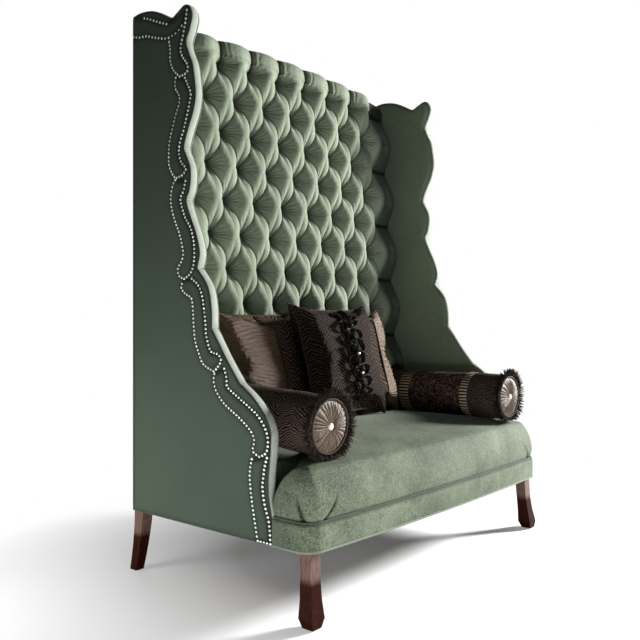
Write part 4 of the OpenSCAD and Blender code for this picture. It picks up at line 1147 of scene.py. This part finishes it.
# %% One filled cushion
CUSHION_N, CUSHION_W, CUSHION_T, CUT_HALF, MOVE_LIMIT = 52, 0.420, 0.140, 0.214, 0.05
FILLING = {"quality": 6, "mass": 0.25, "tension_stiffness": 18, "compression_stiffness": 6,
           "bending_stiffness": 0.15, "use_pressure": True, "uniform_pressure_force": 4.5}


def sewn(front, rear):
    """The points of two square sheets as one list, the rim only once."""
    return np.concatenate([s.reshape(-1, s.shape[-1]) for s in (front, rear[1:-1, 1:-1])])


def sewn_numbers(n):
    """The numbers of those points in each sheet, and the faces of both."""
    front = np.arange(n * n).reshape(n, n)
    rear = front.copy()
    rear[1:-1, 1:-1] = n * n + np.arange((n - 2) ** 2).reshape(n - 2, n - 2)
    corners = [np.stack([q[:-1, :-1], q[1:, :-1], q[1:, 1:], q[:-1, 1:]], -1) for q in (front, rear)]
    return front, rear, np.concatenate([corners[0].reshape(-1, 4), corners[1].reshape(-1, 4)[:, ::-1]])


def blown_up(points, faces):
    """The points after a cloth simulation with pressure inside."""
    mesh = bpy.data.meshes.new("cushion_cloth")
    mesh.from_pydata(points.tolist(), [], faces.tolist())
    cloth_piece = bpy.data.objects.new("cushion_cloth", mesh)
    scene.collection.objects.link(cloth_piece)
    blown = cloth_piece.modifiers.new("cloth", "CLOTH")
    for key, value in FILLING.items():
        setattr(blown.settings, key, value)
    blown.settings.effector_weights.gravity = 0
    blown.collision_settings.use_collision = False
    for moment in range(1, 21):
        scene.frame_set(moment)
    seen_mesh = cloth_piece.evaluated_get(bpy.context.evaluated_depsgraph_get()).to_mesh()
    step = np.array([v.co for v in seen_mesh.vertices]) - points
    far = np.linalg.norm(step, axis=1, keepdims=True)
    bpy.data.objects.remove(cloth_piece)
    scene.frame_set(1)
    return points + step * np.minimum(1, MOVE_LIMIT / np.maximum(far, 1e-9))


def finer(sheet, steps):
    """A net of points made smoother and denser."""
    return np.swapaxes(spline(np.swapaxes(spline(sheet, steps), 0, 1), steps), 0, 1)


x, z = np.meshgrid(*[np.linspace(-1, 1, CUSHION_N + 1)] * 2, indexing="ij")
front = np.stack([x * CUT_HALF, -0.028 * ((1 - x ** 2) * (1 - z ** 2)) ** 0.6, z * CUT_HALF], -1)
front_numbers, rear_numbers, faces = sewn_numbers(CUSHION_N + 1)
points = sewn(front, front * [1, -1, 1])
points = blown_up(points, faces)
points = points * ([CUSHION_W, CUSHION_T, CUSHION_W] / (points.max(0) - points.min(0)))
cushion_front, cushion_rear = [finer(points[numbers], 3) for numbers in (front_numbers, rear_numbers)]
print("cushion:", cushion_front.shape, "thick", round(float(np.ptp(cushion_front[..., 1])), 4))

# %% [markdown]
# ## A dressed cushion
# The outer two cushions have a side of gathered satin, with a cord on the seam. Each cushion is
# a copy of the blown form. It gets soft lumps, puckers along its rim, and on the satin small
# waves that run across it, which are the gathers.

# %% One dressed cushion
LEAN = math.radians(15.5)
CLOTH_HALF = 0.21
cushion_at = np.linspace(-CLOTH_HALF, CLOTH_HALF, len(cushion_front))
CA, CB = np.meshgrid(cushion_at, cushion_at, indexing="ij")


def leaned(points, x, y, z):
    """Points of an upright cushion, leaned back and put in place."""
    p = np.asarray(points, float)
    return np.stack([p[..., 0] + x, p[..., 1] * math.cos(LEAN) + p[..., 2] * math.sin(LEAN) + y,
                     -p[..., 1] * math.sin(LEAN) + p[..., 2] * math.cos(LEAN) + z], -1)


def boundary(z, at, side):
    """Where the satin of a cushion ends: a line that bows across the middle."""
    return at - 0.03 * side * (1 - (z / CLOTH_HALF) ** 2)


def ruche(side, at):
    """The gathers of the satin on one side of the boundary."""
    fine = np.sin(2 * math.pi * CB / 0.0135 + 5.5 * wander(np.stack([CA * 0.7, CB], -1), 22, 4))
    finest = np.sin(2 * math.pi * CB / 0.0082 + 7 * wander(np.stack([CA * 0.6, CB], -1), 30, 6))
    return (fine + 0.6 * finest) * np.clip((CA - boundary(CB, at, side)) * side / 0.01, 0, 1)


def cushion(name, place, finish, side=0, at=0.0, ruching=0.0, side_finish=None):
    """One cushion in its place; side is -1 or 1 where a side of it is satin."""
    rim = np.minimum(CLOTH_HALF - np.abs(CA), CLOTH_HALF - np.abs(CB))
    along_rim = np.where(np.abs(CA) > np.abs(CB), CB, CA)
    puckers = np.sin(along_rim * 2 * math.pi / 0.019) * np.exp(-rim / 0.022) * 0.0016
    sheets = []
    for sheet, way in ((cushion_front, -1), (cushion_rear, 1)):
        lumps = wander(np.stack([CA, CB, CA * 0 + way], -1), 30, 7 + len(name)) * 0.0022
        proud = lumps * np.clip(rim / 0.06, 0, 1) + puckers * np.clip(rim / 0.006, 0, 1)
        if side:
            proud = proud + ruche(side, at) * ruching * np.clip(rim / 0.004, 0, 1)
        sheets.append(sheet + way * proud[..., None] * [0, 1, 0])
    uv = sewn(*[np.stack([CA, CB], -1)] * 2)
    faces = sewn_numbers(len(CA))[2]
    body = name.replace("_velvet", "")
    made = piece(name, leaned(sewn(*sheets), *place), faces, finish, body=body, replaces=(body,),
                 uv=uv)
    if side:
        made.data.materials.append(side_finish)
        centre = uv[faces].mean(1)
        chosen = (centre[:, 0] - boundary(centre[:, 1], at, side)) * side > 0
        made.data.polygons.foreach_set("material_index", chosen.astype(np.int32))


print("cushions lean by", round(math.degrees(LEAN), 1), "degrees")

# %% [markdown]
# ## The three cushions in place
# Two cushions lean on the back and a third stands before them. Their places come from the
# construction model: each rests on the crown of the seat.

# %% Three cushions
SATIN_AT = {"left": 0.0, "right": 0.10}
rear_z = SEAM_Z + SEAT_H * 0.909 + CUSHION_W / 2 * math.cos(LEAN)
middle_z = SEAM_Z + SEAT_H * 1.004 + CUSHION_W / 2 * math.cos(LEAN)
left_place = (-0.335, from_back(0.2495), rear_z)
right_place = (0.180, from_back(0.2495), rear_z)
middle_place = (-0.060, from_back(0.360), middle_z)
cushion("left_cushion_velvet", left_place, cocoa, -1, SATIN_AT["left"], 0.0010, tan_satin)
cushion("right_cushion_velvet", right_place, cocoa, 1, SATIN_AT["right"], 0.0026, pale_ruche)
cushion("middle_cushion_velvet", middle_place, cocoa_middle)
print("three cushions")

# %% [markdown]
# ## Cords of the cushions
# A twisted cord is sewn into the rim of each cushion and on the seam of each satin side. It
# follows the blown form, so it lies on it everywhere, and its swelling stands for the twist.

# %% Cushion cords
RIM_CORD_R, SEAM_CORD_R, TWIST = 0.0030, 0.0033, 0.5


def on_cushion(x, z, lift):
    """The front of the cushion at x and z, raised off it by lift."""
    i, j = [np.interp(v, cushion_at, np.arange(len(cushion_at))) for v in (x, z)]
    i0, j0 = [np.minimum(v.astype(int), len(cushion_at) - 2) for v in (i, j)]
    fi, fj = (i - i0)[..., None], (j - j0)[..., None]
    low, high = [cushion_front[i0, jk] * (1 - fi) + cushion_front[i0 + 1, jk] * fi for jk in (j0, j0 + 1)]
    return low * (1 - fj) + high * fj + np.array([0, -1, 0]) * np.asarray(lift)[..., None]


def twisted_cord(path, radius):
    return cord_mesh(path, radius, 6, TWIST, 1 + 0.13 * np.sin(np.arange(len(path)) * 2.1))


rim_loop = np.concatenate([cushion_front[:, 0], cushion_front[-1, 1:], cushion_front[-2::-1, -1],
                           cushion_front[0, -2:0:-1]])
rim_loop = evenly(np.concatenate([rim_loop, rim_loop[:1]]), 0.004)
seam_z = np.linspace(-0.205, 0.205, 120)
for name, place, side in (("left", left_place, -1), ("middle", middle_place, 0), ("right", right_place, 1)):
    parts = [twisted_cord(leaned(rim_loop, *place), RIM_CORD_R)]
    if side:
        seam = on_cushion(boundary(seam_z, SATIN_AT[name], side), seam_z, np.full(len(seam_z), 0.0015))
        parts.append(twisted_cord(leaned(seam, *place), SEAM_CORD_R))
    points, faces = merged(parts)
    piece(f"{name}_cushion_cord", points, faces, cord_satin, body=f"{name}_cushion",
          uv=points[:, [0, 2]])
print("cord round a cushion:", len(rim_loop), "steps")

# %% [markdown]
# ## Ribbon bows
# Down the middle cushion runs a ruffle of dark satin ribbon, caught into rings, with two bright
# studs. A ribbon is a narrow strip that follows a path, with a slight wave in it. Each ring is
# such a strip that goes once round and stands on its edge, and Solidify gives it a thickness.

# %% Ribbon
RING_ROWS, RIBBON_W, RIBBON_T = 10, 0.017, 0.0008


def ribbon(path, across, width):
    """A strip along a path: across gives its direction at each step, width its width there."""
    half = unit(across) * np.asarray(width)[:, None] / 2
    waves = 0.0016 * np.sin(np.arange(len(path)) * 1.9)[:, None] * np.array([0, -1, 0])
    return np.stack([path + half * t + waves * t for t in (-1, -0.5, 0, 0.5, 1)], 1)


z = np.linspace(-0.19, 0.19, 110)
backing = on_cushion(0.003 * np.sin(z * 60), z, 0.003 + 0.002 * np.sin(z * 140) ** 2)
strips = [ribbon(backing, np.tile([1.0, 0, 0.0], (len(z), 1)), 0.030 + 0.004 * np.sin(z * 190))]
for k, z0 in enumerate(np.linspace(0.176, -0.170, RING_ROWS)):
    for hand in (-1, 1):
        turn = np.linspace(0, 2 * math.pi, 31) + k
        wide = 0.021 + 0.003 * math.sin(k * 1.7 + hand)
        x = hand * 0.017 + 0.006 * math.sin(k * 2.3) + wide * np.cos(turn)
        z = np.clip(z0 + hand * 0.006 + 0.85 * wide * np.sin(turn), -0.205, 0.205)
        path = on_cushion(x, z, 0.013 + 0.004 * np.sin(2 * turn + k))
        across = np.tile([0.55 * hand, -1.0, 0.45 * math.cos(k * 2.9)], (len(path), 1))
        strips.append(ribbon(path, across, RIBBON_W + 0.003 * np.sin(3 * turn)))
points, faces = merged([(leaned(s, *middle_place), net(*s.shape[:2]).tolist()) for s in strips])
bows = piece("ribbon_bows", points, faces, ribbon_satin, body="middle_cushion", uv=points[:, [0, 2]])
thick = bows.modifiers.new("cloth thickness", "SOLIDIFY")
thick.thickness = RIBBON_T
bpy.ops.object.select_all(action="DESELECT")
bpy.context.view_layer.objects.active = bows
bows.select_set(True)
bpy.ops.object.modifier_apply(modifier=thick.name)
bows.select_set(False)
print("ribbon strips:", len(strips))

# %% [markdown]
# ## Studs
# Two bright domes hold the ribbon. They are turned forms, in the metal of the nails.

# %% Studs
STUD_OUT = 0.028
stud_form = add_disc_form("stud", 0.0062, 0.006, 14, [(.96, .4), (.7, .35), (.3, .2)])
stud_places = on_cushion(np.array([-.008, -.010]), np.array([.000, -.061]), np.full(2, STUD_OUT))
points, faces = repeated(stud_form, leaned(stud_places, *middle_place), [(0, -1, 0)] * 2)
piece("ribbon_studs", points, faces, silver.material, body="middle_cushion")
print("studs:", len(stud_places))

# %% [markdown]
# ## Finishes of the bolsters
# The right bolster has two bands of a slatted ribbon with a blotchy brocade between them. The
# slats are a sine wave along the cloth coordinate that runs round the roll, so that a whole
# number of them fits. The fringe is a dark wool, lighter here and there.

# %% Bolster finishes
BOLSTER_R, SLATS = 0.087, 44


def brocade(name, light, dark):
    cloth = Finish(name)
    leaves = cloth.noise(cloth.cloth_place(), 85.0, 3.0, 0.6, 1.8)
    fuzz = cloth.noise(cloth.cloth_place(), 1300.0, 1.0)
    cloth.set(Base_Color=cloth.ramp(leaves * 0.9 + fuzz * 0.1, (0.50, dark), (0.57, light)), Roughness=0.8,
              Normal=cloth.bump(1 - leaves, 0.0030, 0.9), Specular_IOR_Level=0.05)
    return cloth.material


def slatted(name, light, dark, period):
    cloth = Finish(name)
    _, v, _ = cloth.apart(cloth.cloth_place())
    drift = cloth.noise(cloth.cloth_place(), 40.0, 2.0)
    slat = ((v + drift * 0.004) * (2 * math.pi / period)).math("SINE") * 0.5 + 0.5
    cloth.set(Base_Color=cloth.ramp(slat, (0.30, dark), (0.62, light)), Roughness=0.55,
              Normal=cloth.bump(1 - slat, 0.0030, 0.9), Specular_IOR_Level=0.1)
    return cloth.material


slat_band = slatted("slatted_ribbon", srgb(184, 160, 140), srgb(24, 18, 15), 2 * math.pi * BOLSTER_R / SLATS)
figured = brocade("cocoa_brocade", srgb(112, 90, 84), srgb(28, 20, 18))
thread = Finish("fringe_thread")
strand_tone = thread.noise(thread.place(), 420.0, 2.0, 0.7)
thread.set(Base_Color=thread.ramp(strand_tone, (0.35, srgb(16, 12, 10)), (0.65, srgb(50, 40, 33))),
           Roughness=0.8, Specular_IOR_Level=0.05)
print("slats round the roll:", SLATS)

# %% [markdown]
# ## Bolster bodies
# A bolster is a tube of cut velvet, stuffed hard. Rings of points are drawn along it, closer at
# its ends, where it rounds over and gathers. Its radius is made a little uneven, and the bands
# of the right one stand out in slats.

# %% Bolster bodies
BAND_HIGH, END_ROLL, GATHERS = 0.0022, 0.016, 34


def bolster_place(x, front_depth, z, dip):
    """A function that puts points of a bolster in its place, dipped at its front."""
    c, s = math.cos(math.radians(dip)), math.sin(math.radians(dip))
    y = from_back(front_depth)
    return lambda p: np.stack([p[..., 0] + x, p[..., 1] * c - p[..., 2] * s + y,
                               p[..., 1] * s + p[..., 2] * c + z], -1)


def bolster(hand, length, put, bands=()):
    turn = np.linspace(0, 2 * math.pi, 145)[:-1]
    start = np.concatenate([[0.0012], END_ROLL * (1 - np.cos(np.linspace(0.2, math.pi / 2, 7)))])
    middle = np.linspace(0.018, length - 0.018, int(length / 0.005))
    t = np.concatenate([start, middle, length - start[::-1]])
    end = np.clip(np.minimum(t, length - t) / END_ROLL, 0, 1)
    A, T = np.meshgrid(turn, t)
    R = np.zeros(A.shape) + (BOLSTER_R - 0.002 - 0.014 * (1 - np.sqrt(1 - (1 - end) ** 2)))[:, None]
    ball = np.stack([np.cos(A) * BOLSTER_R, T, np.sin(A) * BOLSTER_R], -1)
    R += wander(ball, 28, 9) * 0.0016 + 0.0007 * wander(ball, 80, 6)
    R += 0.0012 * np.sin(A * GATHERS) * np.exp(-np.minimum(T, length - T) / 0.02)
    for a, b in bands:
        R += np.clip(np.minimum(T - a, b - T) / 0.004, 0, 1) * (BAND_HIGH + 0.0014 * np.sin(A * SLATS))
    tube = np.stack([R * np.cos(A), T, R * np.sin(A)], -1)
    made = piece(f"{hand}_bolster_velvet", put(tube), turned(tube_faces(*A.shape)), cocoa_roll,
                 body=f"{hand}_bolster", replaces=(f"{hand}_bolster",), uv=np.stack([T, A * BOLSTER_R], -1))
    if bands:
        made.data.materials.append(slat_band)
        made.data.materials.append(figured)
        at = T.reshape(-1)[net(*A.shape, round_cols=True)].mean(1)
        pick = np.zeros(len(made.data.polygons), np.int32)
        pick[: len(at)][(at > bands[0][1]) & (at < bands[1][0])] = 2
        for a, b in bands:
            pick[: len(at)][(at > a) & (at < b)] = 1
        made.data.polygons.foreach_set("material_index", pick)


LEFT_LONG, RIGHT_LONG = 0.366, 0.530
left_put = bolster_place(-0.531, 0.704, SEAM_Z + SEAT_H * 0.796 + BOLSTER_R, 3)
right_put = bolster_place(0.531, 0.718, SEAM_Z + SEAT_H * 0.816 + BOLSTER_R, 0)
bolster("left", LEFT_LONG, left_put)
bolster("right", RIGHT_LONG, right_put, [(0.137, 0.168), (0.405, 0.451)])
print("bolsters:", LEFT_LONG, "and", RIGHT_LONG, "m long")

# %% [markdown]
# ## Gathered ends and brush fringe
# Each end is a round of satin in folds, closer towards the middle, drawn to a covered button. A
# cord hems it, and a thick brush fringe stands round it: hundreds of short strands, each a thin
# tapering tuft. Where the seat is below, the strands are pressed short.

# %% Bolster ends
STRANDS, STRAND_R, HEM_R, HEM_CORD_R = 900, 0.0013, 0.0765, 0.0036
DISC_RINGS = np.array([0.006, 0.012, 0.018, 0.026, 0.034, 0.042, 0.050, 0.058, 0.065, 0.070, 0.0735, 0.0745])


def gathered_disc(face, out):
    """Points, faces and painted fold shade of a dish of satin that faces out along Y."""
    A, R = np.meshgrid(np.linspace(0, 2 * math.pi, 241)[:-1], DISC_RINGS)
    fold = np.abs(np.sin(A * 15 + 0.9 * np.sin(A * 4 + face) + 0.5 * np.sin(A * 9)))
    depth = 0.0065 * np.sin(np.clip(R / 0.074, 0, 1) * math.pi) ** 0.8 - 0.004 * np.exp(-R / 0.012)
    depth = depth + 0.0048 * fold * np.clip((R - 0.006) / 0.012, 0, 1) * np.clip((0.076 - R) / 0.02, 0.25, 1)
    disc = np.stack([R * np.cos(A), face + out * (depth + 0.0004), R * np.sin(A)], -1)
    behind = disc[-1:] * [1, 0, 1] + [0, face - out * 0.0008, 0]
    # painted shade in the valleys between the folds, half as strong near the button
    folds = np.clip(1 - fold * 1.7, 0, 1) ** 0.8 * np.clip((R - 0.004) / 0.02, 0.5, 1)
    faces = tube_faces(len(DISC_RINGS) + 1, A.shape[1])
    return np.concatenate([disc, behind]), turned(faces) if out < 0 else faces, np.append(folds, A[0] * 0)


def strand(face, out, angle, rng):
    """The middle line of one tuft of the fringe."""
    start_r = 0.0795 + 0.005 * rng.random()
    tip_r = 0.1035 + 0.0075 * rng.random()
    y = face + out * (-0.006 + 0.010 * rng.random())
    lean_out = out * (0.004 + 0.011 * rng.random()) * (1 if rng.random() < 0.7 else -0.6)
    swung = angle + (rng.random() - 0.5) * 0.12
    low = -math.sin(angle)
    tip_r = tip_r if low < 0.85 else min(tip_r, 0.089 / max(low, 0.85) + 0.0015)
    foot = np.array([start_r * math.cos(angle), y, start_r * math.sin(angle)])
    tip = np.array([tip_r * math.cos(swung), y + lean_out, tip_r * math.sin(swung)])
    return np.stack([foot, (foot + tip) / 2 + np.array([0, out * 0.0025, 0]), tip])


def bolster_ends(hand, length, put, seed):
    rng = np.random.default_rng(seed)
    body = f"{hand}_bolster"
    discs, folds, strands, hems, buttons = [], [], [], [], []
    ring = np.linspace(0, 2 * math.pi, 97)
    for face, out in ((0.0, -1), (length, 1)):
        points, faces, dark = gathered_disc(face, out)
        discs.append((put(points), faces))
        folds.append(dark)
        hem = np.stack([HEM_R * np.cos(ring), np.full(97, face + out * 0.003), HEM_R * np.sin(ring)], -1)
        hems.append(cord_mesh(put(hem), HEM_CORD_R, 6, 0.6))
        for k in range(STRANDS):
            line = strand(face, out, 2 * math.pi * (k + rng.random() * 0.9) / STRANDS, rng)
            strands.append(cord_mesh(put(line), STRAND_R, 3, 0.0, [1, 0.95, 0.45]))
        buttons.append(put(np.array([0, face + out * 0.0035, 0])))
    points, faces = merged(discs)
    disc_piece = piece(f"{body}_gathers", points, faces, disc_satin, body=body,
                       replaces=(f"{body}_buttons",), uv=points[:, [2, 0]], painted_shade=np.concatenate(folds))
    form = add_disc_form("end_button", 0.0105, 0.007, 24, [(1.0, .3), (.94, .25), (.75, .22), (.4, .14)])
    along = unit(put(np.array([0, 1.0, 0])) - put(np.zeros(3)))
    for trim, (points, faces), finish, slot in (
            ("hem_cord", merged(hems), cord_satin, "cocoa"),
            ("fringe", merged(strands), thread.material, "cocoa"),
            ("end_buttons", repeated(form, buttons, [-along, along]), pale_satin, "satin")):
        piece(f"{body}_{trim}", points, faces, finish, body=body, uv=points[:, [0, 2]])


bolster_ends("left", LEFT_LONG, left_put, 12)
bolster_ends("right", RIGHT_LONG, right_put, 13)
print("strands at each end:", STRANDS)

# %% [markdown]
# ## Wood
# The legs are dark polished mahogany, and its grain runs up the leg. From about 0.11 m up, a leg
# is painted paler, a painted reflection, and only there a clear coat gives the shine; lower down
# it is dark wood with almost no coat. The same finish with other colours makes the beech rails
# and the plywood.

# %% Wood
SHEEN_FROM, SHEEN_FADE = 0.112, 48


def wood(name, light, dark, ring_scale, stretch, coat, rough, sheen_top=False):
    stuff = Finish(name)
    grain_place = stuff.stretched(stuff.place(), *stretch)
    grain = stuff.noise(grain_place, ring_scale, 4.0, 0.6, 1.4)
    pores = stuff.noise(grain_place, ring_scale * 9, 2.0, 0.6)
    tone = grain * 0.75 + pores * 0.25
    colour = stuff.ramp(tone, (0.35, dark), (0.62, light))
    # painted reflection: the upper part of a leg is painted paler, and only it keeps the clear coat
    if sheen_top:
        _, _, up = stuff.apart(stuff.place())
        sheen_share = ((up - SHEEN_FROM) * SHEEN_FADE).held()
        pale = stuff.ramp(tone, (0.35, srgb(66, 48, 42)), (0.62, srgb(104, 82, 74)))
        colour = stuff.mix(sheen_share, colour, pale)
        coat = sheen_share * coat + 0.02
    stuff.set(Base_Color=colour, Roughness=rough + pores * 0.15, Specular_IOR_Level=0.03,
              Normal=stuff.bump(pores, 0.0004, 0.4), Coat_Weight=coat, Coat_Roughness=0.12)
    return stuff.material


mahogany = wood("polished_mahogany", srgb(48, 14, 6), srgb(16, 4, 1), 26.0, (6, 6, 0.7), 0.30, 0.42,
                sheen_top=True)
beech = wood("beech_rail", srgb(204, 172, 128), srgb(164, 128, 88), 16.0, (0.7, 6, 6), 0.0, 0.6)
ply = wood("plywood", srgb(200, 172, 130), srgb(160, 130, 92), 12.0, (5, 1, 1), 0.0, 0.6)
print("woods:", mahogany.name, beech.name, ply.name)

# %% [markdown]
# ## The hidden frame
# The frame inside isn't seen from outside, but someone may take the settee apart, so its timber,
# plywood, steel, felt and foam have finishes of their own. A plain stuff is a spotted colour
# with a fine grain. Every part of the construction model that still shows gets its finish here.

# %% Finishes of the frame
def plain_stuff(name, light, dark, scale, rough, distance, metallic=0.0):
    stuff = Finish(name)
    spots = stuff.noise(stuff.place(), scale, 4.0, 0.65)
    stuff.set(Base_Color=stuff.ramp(spots, (0.3, dark), (0.7, light)), Roughness=rough, Metallic=metallic,
              Normal=stuff.bump(spots, distance, 0.6))
    return stuff.material


spring_steel = plain_stuff("spring_steel", srgb(150, 152, 156), srgb(96, 98, 102), 300.0, 0.35, 0.0002, 1.0)
grey_felt = plain_stuff("grey_felt", srgb(140, 138, 134), srgb(92, 90, 88), 900.0, 0.95, 0.0008)
cream_foam = plain_stuff("cream_foam", srgb(226, 206, 158), srgb(196, 172, 122), 1200.0, 0.95, 0.0006)
nylon = plain_stuff("grey_nylon", srgb(84, 84, 86), srgb(56, 56, 58), 200.0, 0.5, 0.0002)
FINISHES = ((mahogany, ("front_left_leg", "front_right_leg", "rear_left_leg", "rear_right_leg")),
            (spring_steel, ("seat_springs", "spring_clips", "leg_bolts")), (grey_felt, ("deck_felt",)),
            (cream_foam, ("seat_foam",)), (nylon, ("floor_glides",)),
            (ply, ("tufting_board", "left_back_post", "right_back_post", "left_wing_panel",
                   "right_wing_panel")))
by_node = {name: finish for finish, names in FINISHES for name in names}
shown = {name: node for name, node in nodes.items() if not node.hide_render}
for name, node in shown.items():
    node.data.materials.clear()
    node.data.materials.append(by_node.get(name, beech))
print("finished nodes:", len(shown))
